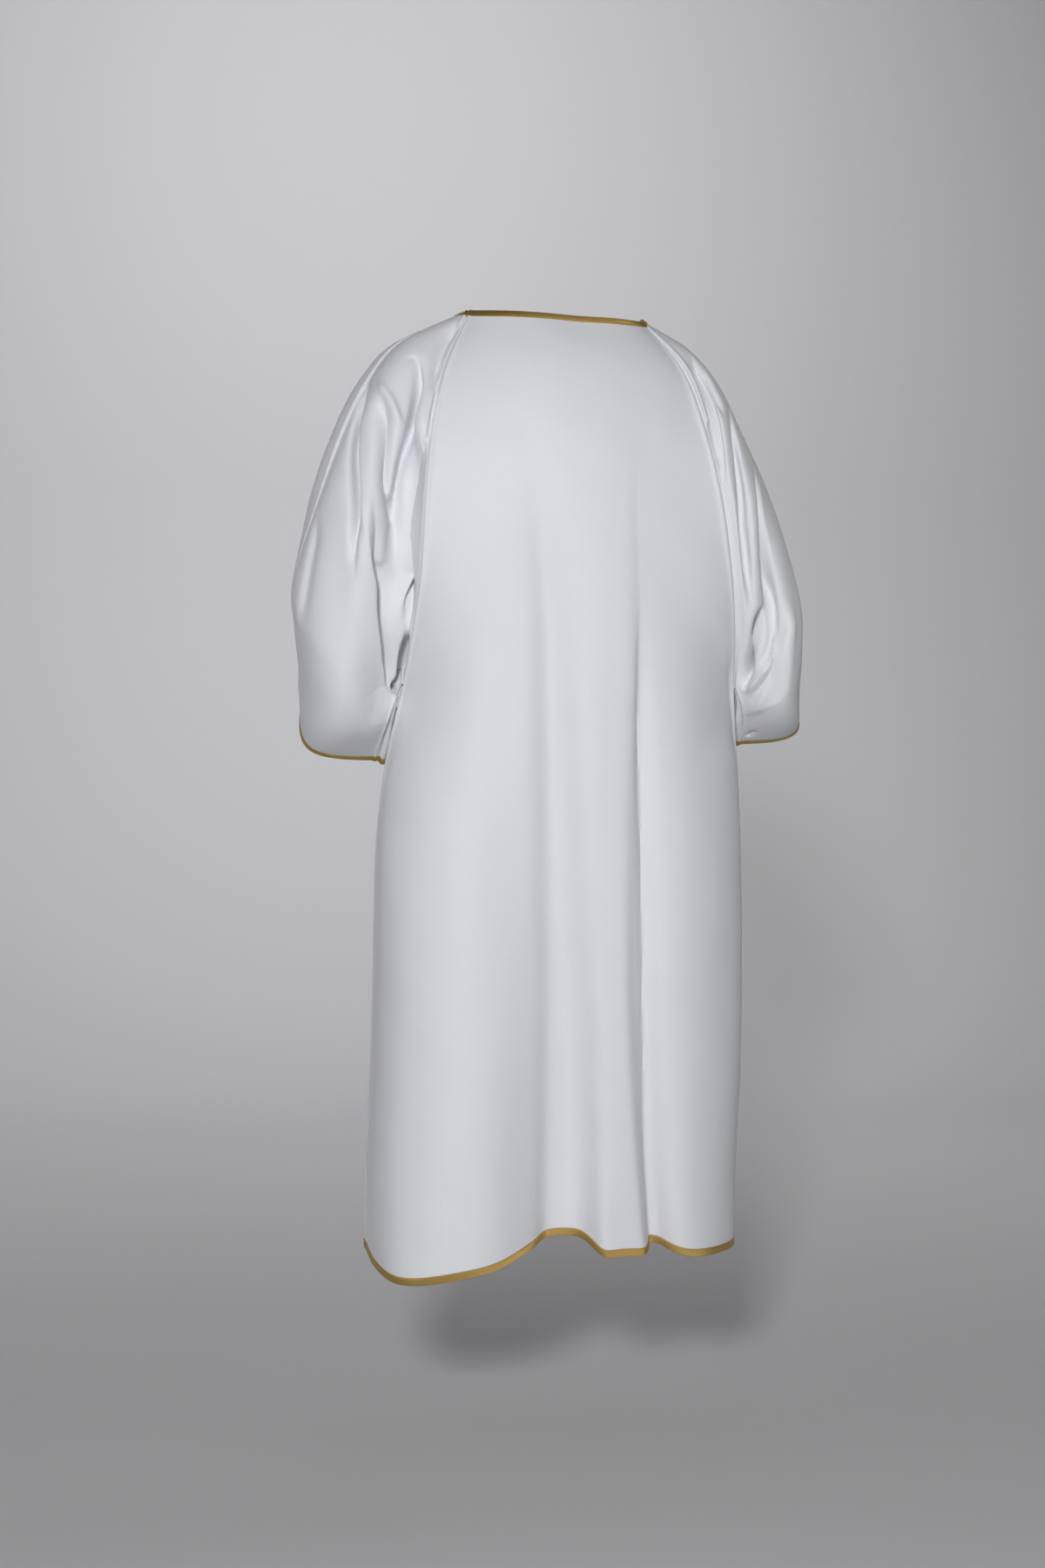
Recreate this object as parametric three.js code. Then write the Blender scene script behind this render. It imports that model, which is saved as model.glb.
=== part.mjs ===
// A raglan-sleeved dalmatic as it hangs on a standing wearer, forearms held forward.
// Millimetres, +Z up. The front faces -Y and the wearer's left is +X. The origin is
// between the shoulders, at the height of the neck edge.
//
// Every cloth piece is one patch between two seam lines. Across it, a row runs from the
// first seam to the last over a crest line; down it, the rows run from the neck edge
// (station 0) past the underarm point (station 1) to the hem or the cuff (station 2).

import * as THREE from "three";

// ---------------------------------------------------------------- driving dimensions

const WALL = 2; // cloth thickness
const SEAM_GAP = 0.5; // clear space between two pieces along a seam
const BRAID_WIDTH = 8;
const BRAID_THICKNESS = 1.2;
const BRAID_CLEARANCE = 0.6; // between the cloth and the braid that lies on it

const RAGLAN_ROWS = 11; // rows from the neck edge to the underarm point
const BODY_ROWS = 13; // rows from the underarm point to the hem
const SLEEVE_ROWS = 8; // rows from the underarm point to the cuff
const ABOVE_HEM = 1.98; // station of the row just above the hem
const ABOVE_CUFF = 1.94; // station of the row just above the cuff
const BACK_COLUMNS = 40;
const FRONT_COLUMNS = 24;
const SLEEVE_COLUMNS = 12;

const TOP_SOFTNESS = 1; // how much wider a fold is at its upper end, as a share
const HEM_DRAW = 0.52; // how far a trough lifts the hem, as a share of its depth
const EDGE_FADE = 0.07; // folds die out over this share of a row beside each seam
const SOFTENING = 0.16; // stations over which the seams' bend at the underarm is rounded
const SOFT_STEPS = [-1, -0.8, -0.6, -0.4, -0.2, 0, 0.2, 0.4, 0.6, 0.8, 1];
const GRIP = 0.3; // share of a row over which that rounding grows from nothing on the seam

const WHITE_CLOTH = { color: 0xe9e9f0, roughness: 0.62, metalness: 0 };
const GOLD_BRAID = { color: 0xb8923a, roughness: 0.4, metalness: 0.7 };

// ---------------------------------------------------------------- tables

// Turns rows of numbers into records with the named columns.
function table(columns, rows) {
  const names = columns.split(" ");
  return rows.map((row) => Object.fromEntries(names.map((name, i) => [name, row[i]])));
}

// Seam lines: a row for each station, at = 0 on the neck edge, 1 at the underarm point
// and 2 on the hem or the cuff.
const SEAMS = {
  leftBackRaglan: table("at x y z", [
    [0.0, 114, 24, 2],
    [0.2, 150, 66, -70],
    [0.4, 171, 93, -150],
    [0.6, 181, 103, -235],
    [0.8, 187, 88, -345],
    [0.9, 193, 58, -410],
    [1.0, 201, 10, -485],
  ]),
  leftFrontRaglan: table("at x y z", [
    [0.0, 100, -60, -26],
    [0.2, 132, -88, -90],
    [0.4, 160, -108, -165],
    [0.6, 176, -112, -250],
    [0.8, 187, -92, -350],
    [0.9, 194, -52, -412],
    [1.0, 201, 10, -485],
  ]),
  leftSide: table("at x y z", [
    [1.0, 201, 10, -485],
    [1.15, 224.0, 8, -596],
    [1.3, 235, 4, -706],
    [1.5, 238, 0, -853],
    [1.7, 243, 0, -1001],
    [1.85, 249, 0, -1115],
    [2.0, 250, 0, -1226],
  ]),
  leftOverarm: table("at x y z", [
    [0.0, 122, -14, 4],
    [0.2, 203, 8, -40],
    [0.4, 246, 24, -93],
    [0.6, 281, 34, -166],
    [0.8, 312, 28, -255],
    [1.0, 341, -6, -347],
    [1.25, 336, -52, -390],
    [1.5, 321, -102, -412],
    [1.75, 300, -154, -418],
    [2.0, 270, -202, -414],
  ]),
  leftUnderarm: table("at x y z", [
    [1.0, 201, 10, -485],
    [1.25, 210, 9, -512],
    [1.5, 219, -8, -541],
    [1.75, 224, -28, -565],
    [2.0, 229, -50, -586],
  ]),
  rightBackRaglan: table("at x y z", [
    [0.0, -116, 24, -8],
    [0.2, -163, 63, -72],
    [0.4, -187, 93, -150],
    [0.6, -208, 100, -238],
    [0.8, -226, 86, -345],
    [0.9, -235, 60, -412],
    [1.0, -244, 12, -490],
  ]),
  rightFrontRaglan: table("at x y z", [
    [0.0, -102, -60, -36],
    [0.2, -140, -88, -95],
    [0.4, -172, -108, -165],
    [0.6, -196, -112, -250],
    [0.8, -219, -92, -350],
    [0.9, -231, -50, -413],
    [1.0, -244, 12, -490],
  ]),
  rightSide: table("at x y z", [
    [1.0, -244, 12, -490],
    [1.15, -249, 8, -598],
    [1.3, -253, 4, -706],
    [1.5, -256, 0, -853],
    [1.7, -254, 0, -1003],
    [1.85, -248, 0, -1116],
    [2.0, -245, 0, -1233],
  ]),
  rightOverarm: table("at x y z", [
    [0.0, -120, -14, 0],
    [0.2, -177, -6, -38],
    [0.4, -222, -4, -87],
    [0.6, -262, -4, -158],
    [0.8, -301, -6, -248],
    [1.0, -330, -20, -345],
    [1.25, -331, -56, -390],
    [1.5, -319, -106, -411],
    [1.75, -302, -156, -417],
    [2.0, -272, -202, -413],
  ]),
  rightUnderarm: table("at x y z", [
    [1.0, -244, 12, -490],
    [1.25, -253, 6, -509],
    [1.5, -258, -8, -528],
    [1.75, -260, -28, -548],
    [2.0, -260, -50, -566],
  ]),
};

// Crest lines: the middle point of each row, and how round the row is beside its seams. At
// 1 it is a quarter of an ellipse; towards 0 it becomes a soft hump that meets the seam flat.
// On a sleeve, outer is the side of the overarm seam and inner that of the lower seam.
const CRESTS = {
  back: table("at x y z round", [
    [0.0, -2, 60, -6, 1.0],
    [0.2, -5, 100, -71, 0.6],
    [0.4, -7, 124, -150, 0.4],
    [0.6, -10, 136, -236, 0.4],
    [0.8, -13, 141, -345, 0.6],
    [1.0, -14, 144, -487, 0.8],
    [1.3, -8, 147, -706, 1.0],
    [1.6, -4, 150, -927, 1.0],
    [2.0, 0, 152, -1225, 1.0],
  ]),
  front: table("at x y z round", [
    [0.0, -2, -98, -88, 1.0],
    [0.2, -4, -128, -140, 0.7],
    [0.4, -6, -145, -200, 0.5],
    [0.6, -8, -151, -270, 0.5],
    [0.8, -10, -152, -355, 0.7],
    [1.0, -14, -150, -487, 0.8],
    [1.3, -8, -152, -706, 1.0],
    [1.6, -4, -158, -927, 1.0],
    [2.0, 0, -166, -1227, 1.0],
  ]),
  leftSleeveBack: table("at x y z outer inner", [
    [0.0, 120, 6, 4, 0.6, 0.6],
    [0.2, 186, 44, -43, 0.6, 0.6],
    [0.4, 223, 74, -107, 0.6, 0.6],
    [0.6, 246, 90, -192, 0.7, 0.6],
    [0.8, 265, 95, -300, 0.9, 0.6],
    [1.0, 286, 80, -425, 1.0, 0.6],
    [1.25, 300, 62, -478, 1.0, 0.7],
    [1.5, 312, 28, -516, 1.0, 0.65],
    [1.75, 324, -14, -539, 0.95, 0.5],
    [2.0, 330, -60, -554, 0.65, 0.4],
  ]),
  leftSleeveFront: table("at x y z outer inner", [
    [0.0, 114, -38, -7, 0.6, 0.6],
    [0.2, 189, -48, -42, 0.8, 0.6],
    [0.4, 236, -66, -97, 0.85, 0.6],
    [0.6, 268, -78, -182, 0.95, 0.6],
    [0.8, 291, -92, -291, 1.0, 0.6],
    [1.0, 286, -92, -403, 1.0, 0.6],
    [1.25, 240, -86, -451, 1.0, 0.75],
    [1.5, 222, -80, -483, 1.0, 0.85],
    [1.75, 216, -100, -506, 1.0, 0.95],
    [2.0, 212, -126, -519, 1.0, 1.0],
  ]),
  rightSleeveBack: table("at x y z outer inner", [
    [0.0, -119, 6, 0, 0.6, 0.6],
    [0.2, -178, 42, -49, 0.6, 0.6],
    [0.4, -211, 72, -108, 0.6, 0.6],
    [0.6, -238, 88, -192, 0.7, 0.6],
    [0.8, -266, 94, -298, 0.9, 0.6],
    [1.0, -298, 78, -420, 1.0, 0.6],
    [1.25, -315, 60, -470, 1.0, 0.7],
    [1.5, -328, 26, -503, 1.0, 0.65],
    [1.75, -342, -16, -524, 0.95, 0.5],
    [2.0, -352, -58, -533, 0.65, 0.4],
  ]),
  rightSleeveFront: table("at x y z outer inner", [
    [0.0, -112, -38, -14, 0.6, 0.6],
    [0.2, -171, -55, -51, 0.6, 0.6],
    [0.4, -208, -78, -108, 0.6, 0.6],
    [0.6, -236, -90, -196, 0.7, 0.6],
    [0.8, -266, -94, -300, 0.9, 0.6],
    [1.0, -286, -84, -405, 1.0, 0.6],
    [1.25, -262, -88, -448, 1.0, 0.75],
    [1.5, -244, -80, -476, 1.0, 0.85],
    [1.75, -236, -100, -494, 1.0, 0.95],
    [2.0, -228, -126, -504, 1.0, 1.0],
  ]),
};

// Folds. Each runs from (u0, at0) to (u1, at1), u being the share of the row from its
// first seam to its last on the body, and from the overarm seam inwards on a sleeve. bow is
// how far its middle lies off the straight line between those. push is the greatest height
// over the plain surface, below 0 for a trough. before and after are its half widths on
// either side. end is 1 where it grows down to the free edge, and 0 where it fades out.
const FOLDS = {
  back: table("name u0 at0 u1 at1 bow push before after end", [
    ["left lobe", 0.17, 0.85, 0.17, 2.0, 0, 46, 0.13, 0.18, 1],
    ["middle trough", 0.34, 0.3, 0.512, 2.0, 0.022, -50, 0.085, 0.034, 1],
    ["trough foot", 0.4, 1.0, 0.458, 2.0, 0, -12, 0.07, 0.045, 1],
    ["right shelf", 0.65, 0.5, 0.6, 2.0, -0.06, -15, 0.05, 0.1, 1],
    ["right crease", 0.705, 0.42, 0.655, 2.0, -0.062, -22, 0.012, 0.045, 1],
  ]),
  front: table("name u0 at0 u1 at1 bow push before after end", [
    ["right lobe", 0.2, 0.8, 0.22, 2.0, 0, 19, 0.09, 0.09, 1],
    ["right trough", 0.36, 0.5, 0.37, 2.0, 0, -20, 0.06, 0.06, 1],
    ["centre lobe", 0.5, 0.8, 0.5, 2.0, 0, 15, 0.07, 0.07, 1],
    ["left trough", 0.66, 0.5, 0.65, 2.0, 0, -22, 0.06, 0.06, 1],
    ["left lobe", 0.8, 0.8, 0.79, 2.0, 0, 19, 0.09, 0.09, 1],
  ]),
  leftSleeveBack: table("name u0 at0 u1 at1 bow push before after end", [
    ["armpit crease", 0.66, 0.22, 0.725, 0.95, 0.06, -20, 0.07, 0.06, 0],
    ["outer crease", 0.13, 0.38, 0.5, 0.8, 0.04, -9, 0.06, 0.07, 0],
    ["underarm tuck", 0.64, 0.72, 0.86, 1.45, 0, -24, 0.06, 0.12, 0],
  ]),
  leftSleeveFront: table("name u0 at0 u1 at1 bow push before after end", [
    ["elbow crease", 0.55, 0.85, 0.45, 1.55, 0, -16, 0.12, 0.12, 0],
  ]),
  rightSleeveBack: table("name u0 at0 u1 at1 bow push before after end", [
    ["armpit crease", 0.64, 0.16, 0.95, 0.62, 0, -10, 0.07, 0.06, 0],
    ["outer crease", 0.46, 0.42, 0.74, 0.9, 0.05, -11, 0.06, 0.07, 0],
    ["underarm tuck", 0.46, 0.7, 0.72, 1.35, 0, -24, 0.06, 0.12, 0],
  ]),
  rightSleeveFront: table("name u0 at0 u1 at1 bow push before after end", [
    ["elbow crease", 0.55, 0.85, 0.45, 1.55, 0, -16, 0.12, 0.12, 0],
  ]),
};

// ---------------------------------------------------------------- curves and folds

function smoothstep(low, high, value) {
  const k = THREE.MathUtils.clamp((value - low) / (high - low), 0, 1);
  return k * k * (3 - 2 * k);
}

// The slope of one column at a row: the mean of the slopes beside it.
function columnSlope(rows, name, i) {
  const below = rows[Math.max(i - 1, 0)];
  const above = rows[Math.min(i + 1, rows.length - 1)];
  return (above[name] - below[name]) / (above.at - below.at);
}

// One column of a table at any station: a cubic through its rows with those slopes.
function column(rows, name, at) {
  let i = 0;
  while (i < rows.length - 2 && rows[i + 1].at < at) {
    i += 1;
  }
  const a = rows[i];
  const b = rows[i + 1];
  const span = b.at - a.at;
  const k = (at - a.at) / span;
  const startSlope = columnSlope(rows, name, i) * span;
  const endSlope = columnSlope(rows, name, i + 1) * span;
  const rise = b[name] - a[name];
  return a[name] + k * (startSlope + k * (3 * rise - 2 * startSlope - endSlope
    + k * (startSlope + endSlope - 2 * rise)));
}

function pointOn(rows, at) {
  return new THREE.Vector3(column(rows, "x", at), column(rows, "y", at), column(rows, "z", at));
}

// A seam line made of one table above the underarm point and one below it. Its softness
// rounds the bend at the underarm: the point is the mean of points a little above and below.
function seamLine(above, below) {
  return (at, softness) => {
    const reach = softness * Math.min(SOFTENING, at, 2 - at);
    const sum = new THREE.Vector3();
    SOFT_STEPS.forEach((step) => {
      const place = at + step * reach;
      sum.add(pointOn(place <= 1 ? above : below, place));
    });
    return sum.divideScalar(SOFT_STEPS.length);
  };
}

// A seam line of one table, which has no bend to round.
function bendlessLine(rows) {
  return (at) => pointOn(rows, at);
}

// A bell across the fold, wider at its top, that grows along it and fades unless end is 1.
function foldHeight(fold, u, at) {
  const k = THREE.MathUtils.clamp((at - fold.at0) / (fold.at1 - fold.at0), 0, 1);
  const middle = THREE.MathUtils.lerp(fold.u0, fold.u1, k) + fold.bow * 4 * k * (1 - k);
  const offset = u - middle;
  const softness = 1 + TOP_SOFTNESS * (1 - k);
  const reach = (offset < 0 ? fold.before : fold.after) * softness;
  const across = Math.exp(-((offset / reach) ** 2));
  const hanging = k ** 1.35;
  const closing = Math.sin(Math.PI * k) ** 1.2;
  return fold.push * across * (fold.end === 1 ? hanging : closing);
}

// ---------------------------------------------------------------- patches

// A patch's point at (u, at): along the chord between its two soft seam lines, and out from
// it towards the crest by half an ellipse or a hump, with the folds added. Towards a seam
// the line softens less and less, so that the patch ends on the seam itself.
function patchPoint(patch, u, at) {
  const first = patch.first(at, 1);
  const last = patch.last(at, 1);
  const crest = pointOn(patch.crest, at);
  const round = column(patch.crest, u < 0.5 ? patch.roundFirst : patch.roundLast, at);
  const share = THREE.MathUtils.lerp(u, (1 - Math.cos(Math.PI * u)) / 2, round);
  const out = crest.clone().sub(first.clone().add(last).multiplyScalar(0.5));
  const height = out.length();
  const fade = smoothstep(0, EDGE_FADE, u) * smoothstep(0, EDGE_FADE, 1 - u);
  const across = patch.overarmLast ? 1 - u : u;
  const folds = fade * patch.folds.reduce((sum, fold) => sum + foldHeight(fold, across, at), 0);
  const rise = height * Math.sin(Math.PI * u) ** (2 - round) + folds;
  const point = first.clone().lerp(last, share).addScaledVector(out.normalize(), rise);
  point.z -= HEM_DRAW * Math.max(at - 1, 0) * folds;
  point.add(patch.first(at, smoothstep(0, GRIP, u))).sub(first);
  return point.add(patch.last(at, smoothstep(0, GRIP, 1 - u))).sub(last);
}

// The stations of a patch's rows. One more lies just above the free edge, so that the
// cloth is close to flat under the braid.
function stations(lowerRows, aboveEdge) {
  const above = Array.from({ length: RAGLAN_ROWS }, (_, i) => i / RAGLAN_ROWS);
  const below = Array.from({ length: lowerRows }, (_, i) => 1 + i / lowerRows);
  return [...above, ...below, aboveEdge, 2];
}

// Even shares across a row, with closer ones added at a sharp crease.
function shares(columns, crease = []) {
  const even = Array.from({ length: columns + 1 }, (_, i) => i / columns);
  const clear = even.filter((u) => crease.every((c) => Math.abs(u - c) > 0.3 / columns));
  return clear.concat(crease).sort((a, b) => a - b);
}

function seamKey(point) {
  return [point.x, point.y, point.z].map((value) => Math.round(value * 50)).join("_");
}

// Points and outward normals of a patch; normals are dv x du by differences on the grid.
function grid(patch) {
  const ats = stations(patch.lowerRows, patch.aboveEdge);
  const us = shares(patch.columns, patch.crease);
  const points = ats.map((at) => us.map((u) => patchPoint(patch, u, at)));
  const normals = points.map((row, i) => row.map((_, j) => {
    const above = points[Math.max(i - 1, 0)][j];
    const below = points[Math.min(i + 1, points.length - 1)][j];
    const before = row[Math.max(j - 1, 0)];
    const after = row[Math.min(j + 1, row.length - 1)];
    return below.clone().sub(above).cross(after.clone().sub(before)).normalize();
  }));
  return { name: patch.name, points, normals };
}

// Pieces that meet at a seam share the mean of their normals there, so that the ends of
// their walls face each other squarely.
function shareSeamNormals(grids) {
  const sums = new Map();
  const edgesOf = (row) => [0, row.length - 1];
  for (const { points, normals } of grids) {
    points.forEach((row, i) => edgesOf(row).forEach((j) => {
      const key = seamKey(row[j]);
      const sum = sums.get(key) ?? new THREE.Vector3();
      sums.set(key, sum.add(normals[i][j]));
    }));
  }
  for (const { points, normals } of grids) {
    points.forEach((row, i) => edgesOf(row).forEach((j) => {
      normals[i][j] = sums.get(seamKey(row[j])).clone().normalize();
    }));
  }
}

// Draws the first and last column of a patch back from its seams by half the gap.
function openSeams({ points }) {
  for (const row of points) {
    const end = row.length - 1;
    for (const [j, next] of [[0, 1], [end, end - 1]]) {
      const inwards = row[next].clone().sub(row[j]).normalize();
      row[j].addScaledVector(inwards, SEAM_GAP / 2);
    }
  }
}

// ---------------------------------------------------------------- solids

function solidGeometry(vertices, faces) {
  const positions = new Float32Array(vertices.flatMap((v) => [v.x, v.y, v.z]));
  const geometry = new THREE.BufferGeometry();
  geometry.setAttribute("position", new THREE.BufferAttribute(positions, 3));
  const volume = faces.reduce((sum, [a, b, c]) => (
    sum + vertices[a].dot(vertices[b].clone().cross(vertices[c]))
  ), 0);
  const turned = volume < 0 ? faces.map(([a, b, c]) => [a, c, b]) : faces;
  geometry.setIndex(turned.flat());
  geometry.computeVertexNormals();
  return geometry;
}

// A cloth wall: the grid moved out and in by half its thickness, closed at its border.
function wallGeometry({ points, normals }) {
  const rows = points.length;
  const columns = points[0].length;
  const layer = (offset) => points.flatMap((row, i) => (
    row.map((point, j) => point.clone().addScaledVector(normals[i][j], offset))
  ));
  const vertices = layer(WALL / 2).concat(layer(-WALL / 2));
  const inner = rows * columns;
  const at = (i, j) => i * columns + j;
  const faces = [];
  for (let i = 0; i < rows - 1; i += 1) {
    for (let j = 0; j < columns - 1; j += 1) {
      const [a, b, c, d] = [at(i, j), at(i + 1, j), at(i + 1, j + 1), at(i, j + 1)];
      faces.push([a, b, c], [a, c, d]);
      faces.push([inner + a, inner + c, inner + b], [inner + a, inner + d, inner + c]);
    }
  }
  // The ends of the wall. Each face is cut from the outer corner of the upper row to the
  // inner corner of the lower one, so two walls that meet at a seam have parallel ends.
  const last = columns - 1;
  for (let j = 0; j < last; j += 1) {
    const [a, b] = [at(0, j), at(0, j + 1)];
    const [c, d] = [at(rows - 1, j), at(rows - 1, j + 1)];
    faces.push([a, b, inner + b], [a, inner + b, inner + a]);
    faces.push([d, c, inner + c], [d, inner + c, inner + d]);
  }
  for (let i = 0; i < rows - 1; i += 1) {
    const [a, b] = [at(i, last), at(i + 1, last)];
    const [c, d] = [at(i, 0), at(i + 1, 0)];
    faces.push([a, b, inner + b], [a, inner + b, inner + a]);
    faces.push([d, c, inner + d], [c, inner + c, inner + d]);
  }
  return solidGeometry(vertices, faces);
}

// The free edge of a grid: at each column, its point and normal on the edge itself and at
// the braid's width in from it, on the straight line to the next row.
function freeEdge({ points, normals }, atEnd) {
  const i = atEnd ? points.length - 1 : 0;
  const next = atEnd ? i - 1 : 1;
  return points[i].map((point, j) => {
    const share = BRAID_WIDTH / points[next][j].distanceTo(point);
    return {
      edge: { point, normal: normals[i][j] },
      inset: {
        point: point.clone().lerp(points[next][j], share),
        normal: normals[i][j].clone().lerp(normals[next][j], share),
      },
    };
  });
}

// Braid: a flat ribbon on the outside of the cloth along a closed run of free edges.
// Where two edges meet at a seam, only the first one's end point is used.
function braidGeometry(edges) {
  const ring = edges.flatMap((edge) => edge.slice(1));
  const low = WALL / 2 + BRAID_CLEARANCE;
  const high = low + BRAID_THICKNESS;
  const corners = [["edge", low], ["edge", high], ["inset", high], ["inset", low]];
  const vertices = ring.flatMap((place) => corners.map(([line, out]) => (
    place[line].point.clone().addScaledVector(place[line].normal, out)
  )));
  const faces = [];
  ring.forEach((_, k) => {
    const here = k * corners.length;
    const there = ((k + 1) % ring.length) * corners.length;
    corners.forEach((__, c) => {
      const d = (c + 1) % corners.length;
      faces.push([here + c, there + c, there + d], [here + c, there + d, here + d]);
    });
  });
  return solidGeometry(vertices, faces);
}

// ---------------------------------------------------------------- the garment

// Closer columns at the back panel's sharp folds.
const CREASE_COLUMNS = [0.49, 0.537, 0.635, 0.65, 0.67];

const leftBackSeam = seamLine(SEAMS.leftBackRaglan, SEAMS.leftSide);
const leftFrontSeam = seamLine(SEAMS.leftFrontRaglan, SEAMS.leftSide);
const rightBackSeam = seamLine(SEAMS.rightBackRaglan, SEAMS.rightSide);
const rightFrontSeam = seamLine(SEAMS.rightFrontRaglan, SEAMS.rightSide);

function bodyPatch(name, first, last, key, columns, crease = []) {
  return {
    name, first, last, columns, crease,
    crest: CRESTS[key], roundFirst: "round", roundLast: "round",
    folds: FOLDS[key], lowerRows: BODY_ROWS, aboveEdge: ABOVE_HEM, overarmLast: false,
  };
}

// A sleeve half between the overarm seam and the raglan and underarm seams. Rows run
// the same way round as on the body, so the overarm seam is first or last in them.
function sleevePatch(name, side, face, overarmLast) {
  const overarm = bendlessLine(SEAMS[`${side}Overarm`]);
  const lower = seamLine(SEAMS[`${side}${face}Raglan`], SEAMS[`${side}Underarm`]);
  return {
    name,
    first: overarmLast ? lower : overarm,
    last: overarmLast ? overarm : lower,
    columns: SLEEVE_COLUMNS,
    crest: CRESTS[`${side}Sleeve${face}`],
    roundFirst: overarmLast ? "inner" : "outer",
    roundLast: overarmLast ? "outer" : "inner",
    folds: FOLDS[`${side}Sleeve${face}`],
    lowerRows: SLEEVE_ROWS,
    aboveEdge: ABOVE_CUFF,
    overarmLast,
  };
}

const patches = [
  bodyPatch("back_panel", leftBackSeam, rightBackSeam, "back", BACK_COLUMNS, CREASE_COLUMNS),
  bodyPatch("front_panel", rightFrontSeam, leftFrontSeam, "front", FRONT_COLUMNS),
  sleevePatch("left_sleeve_back", "left", "Back", false),
  sleevePatch("left_sleeve_front", "left", "Front", true),
  sleevePatch("right_sleeve_back", "right", "Back", true),
  sleevePatch("right_sleeve_front", "right", "Front", false),
];

const grids = patches.map(grid);
shareSeamNormals(grids);
grids.forEach(openSeams);

const named = Object.fromEntries(grids.map((item) => [item.name, item]));
const edge = (name, atEnd) => freeEdge(named[name], atEnd);
const braids = {
  neck_braid: [
    edge("back_panel", false),
    edge("right_sleeve_back", false),
    edge("right_sleeve_front", false),
    edge("front_panel", false),
    edge("left_sleeve_front", false),
    edge("left_sleeve_back", false),
  ],
  hem_braid: [edge("back_panel", true), edge("front_panel", true)],
  left_cuff_braid: [edge("left_sleeve_back", true), edge("left_sleeve_front", true)],
  right_cuff_braid: [edge("right_sleeve_back", true), edge("right_sleeve_front", true)],
};

const cloth = new THREE.MeshStandardMaterial(WHITE_CLOTH);
const braid = new THREE.MeshStandardMaterial(GOLD_BRAID);
const dalmatic = new THREE.Group();

function addPiece(name, geometry, material) {
  const mesh = new THREE.Mesh(geometry, material.clone());
  mesh.name = name;
  dalmatic.add(mesh);
}

grids.forEach((item) => addPiece(item.name, wallGeometry(item), cloth));
Object.entries(braids).forEach(([name, edges]) => addPiece(name, braidGeometry(edges), braid));

export default dalmatic;
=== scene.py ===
"""A raglan-sleeved dalmatic of white cloth with gold braid, as it hangs on a standing wearer.

The tables are in millimetres, with +Z up, the front facing -Y and the wearer's left at +X.
Meshes are in metres. Every cloth piece is one sheet between two seam lines: a row runs from
the first seam over a crest line to the last, and the rows run from the neck edge (station 0)
past the underarm point (station 1) to the hem or the cuff (station 2).
"""

import logging
import math
from dataclasses import dataclass, field
from enum import Enum

import bpy
import numpy as np
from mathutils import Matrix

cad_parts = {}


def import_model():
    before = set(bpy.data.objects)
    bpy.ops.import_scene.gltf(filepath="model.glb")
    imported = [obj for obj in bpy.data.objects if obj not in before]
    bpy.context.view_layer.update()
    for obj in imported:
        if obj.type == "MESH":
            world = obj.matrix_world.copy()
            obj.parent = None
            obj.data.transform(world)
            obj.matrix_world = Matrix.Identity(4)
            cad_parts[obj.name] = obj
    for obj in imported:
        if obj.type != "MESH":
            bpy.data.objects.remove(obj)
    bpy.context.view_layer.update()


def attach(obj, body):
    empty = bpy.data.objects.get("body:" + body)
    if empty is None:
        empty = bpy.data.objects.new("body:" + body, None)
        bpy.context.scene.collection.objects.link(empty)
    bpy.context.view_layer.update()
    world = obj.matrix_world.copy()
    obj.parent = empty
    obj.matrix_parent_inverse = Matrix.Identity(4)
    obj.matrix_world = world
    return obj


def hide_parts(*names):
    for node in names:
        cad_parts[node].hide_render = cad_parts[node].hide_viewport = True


LOG = logging.getLogger("dalmatic")

Rows = tuple[tuple[float, ...], ...]
Place = tuple[float, float]
Point = tuple[float, float, float]
Colour = tuple[float, float, float]

MM = 0.001
CLOTH_THICKNESS = 0.9
UPPER_ROWS = 148
# A seam's bend at the underarm is rounded over this stretch of stations, in this many steps.
SOFTENING = 0.16
SOFTENING_STEPS = 11
# The share of a row over which it takes up that rounding.
GRIP = 0.3
# How far a fold draws the cloth under it up or down at the hem, per millimetre of its height.
HEM_DRAW = 0.52
# The share of a row, beside a seam, over which the large folds rise.
EDGE_FADE = 0.07
# How much wider a fold is at its top than at its lower end.
TOP_SOFTNESS = 1.0
# The powers that a fold's height follows along it: of its share, or of half a sine wave.
HANGING_GROWTH = 1.35
CLOSING_SWELL = 1.2
# The share of a crease's length over which it rises and dies out.
CREASE_FADE = 0.3
# The height of the unevenness, and the clear strips beside a seam that it and the creases leave.
RIPPLE_HEIGHT = 0.5
RIPPLE_CLEAR = 16
CREASE_CLEAR = 5
SHARP_ANGLE = 55
# The rows of points by which the direction past a free edge is measured.
EDGE_ROWS = 3
THREAD_PLACE = "thread_place"


class FoldEnd(Enum):
    """What a fold does at its lower end."""

    HANGING = "grows down to the free edge"
    CLOSING = "fades out at both ends"


class Edge(Enum):
    """A free edge of a cloth piece, as the index of its row of points."""

    NECK = 0
    HEM = -1


# ---------------------------------------------------------------- curves


def smoothstep(low: float, high: float, value: np.ndarray) -> np.ndarray:
    """An S curve that goes from 0 at low to 1 at high.

    Args:
        low: the value where it starts to rise.
        high: the value where it is full.
        value: the values to look up.

    Returns:
        3k squared less 2k cubed, k being the share of the way from low to high.
    """
    k = np.clip((value - low) / (high - low), 0, 1)
    return k * k * (3 - 2 * k)


def lengths(points: np.ndarray, axis: int) -> np.ndarray:
    """Distance along a grid of points from its first row or column.

    Args:
        points: a grid of points, rows by columns by 3.
        axis: 0 to measure down the columns, 1 along the rows.

    Returns:
        The running sum of the steps between points, as a grid.
    """
    steps = np.linalg.norm(np.diff(points, axis=axis), axis=2)
    first = np.zeros_like(np.take(steps, [0], axis=axis))
    return np.cumsum(np.concatenate([first, steps], axis=axis), axis=axis)


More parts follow.
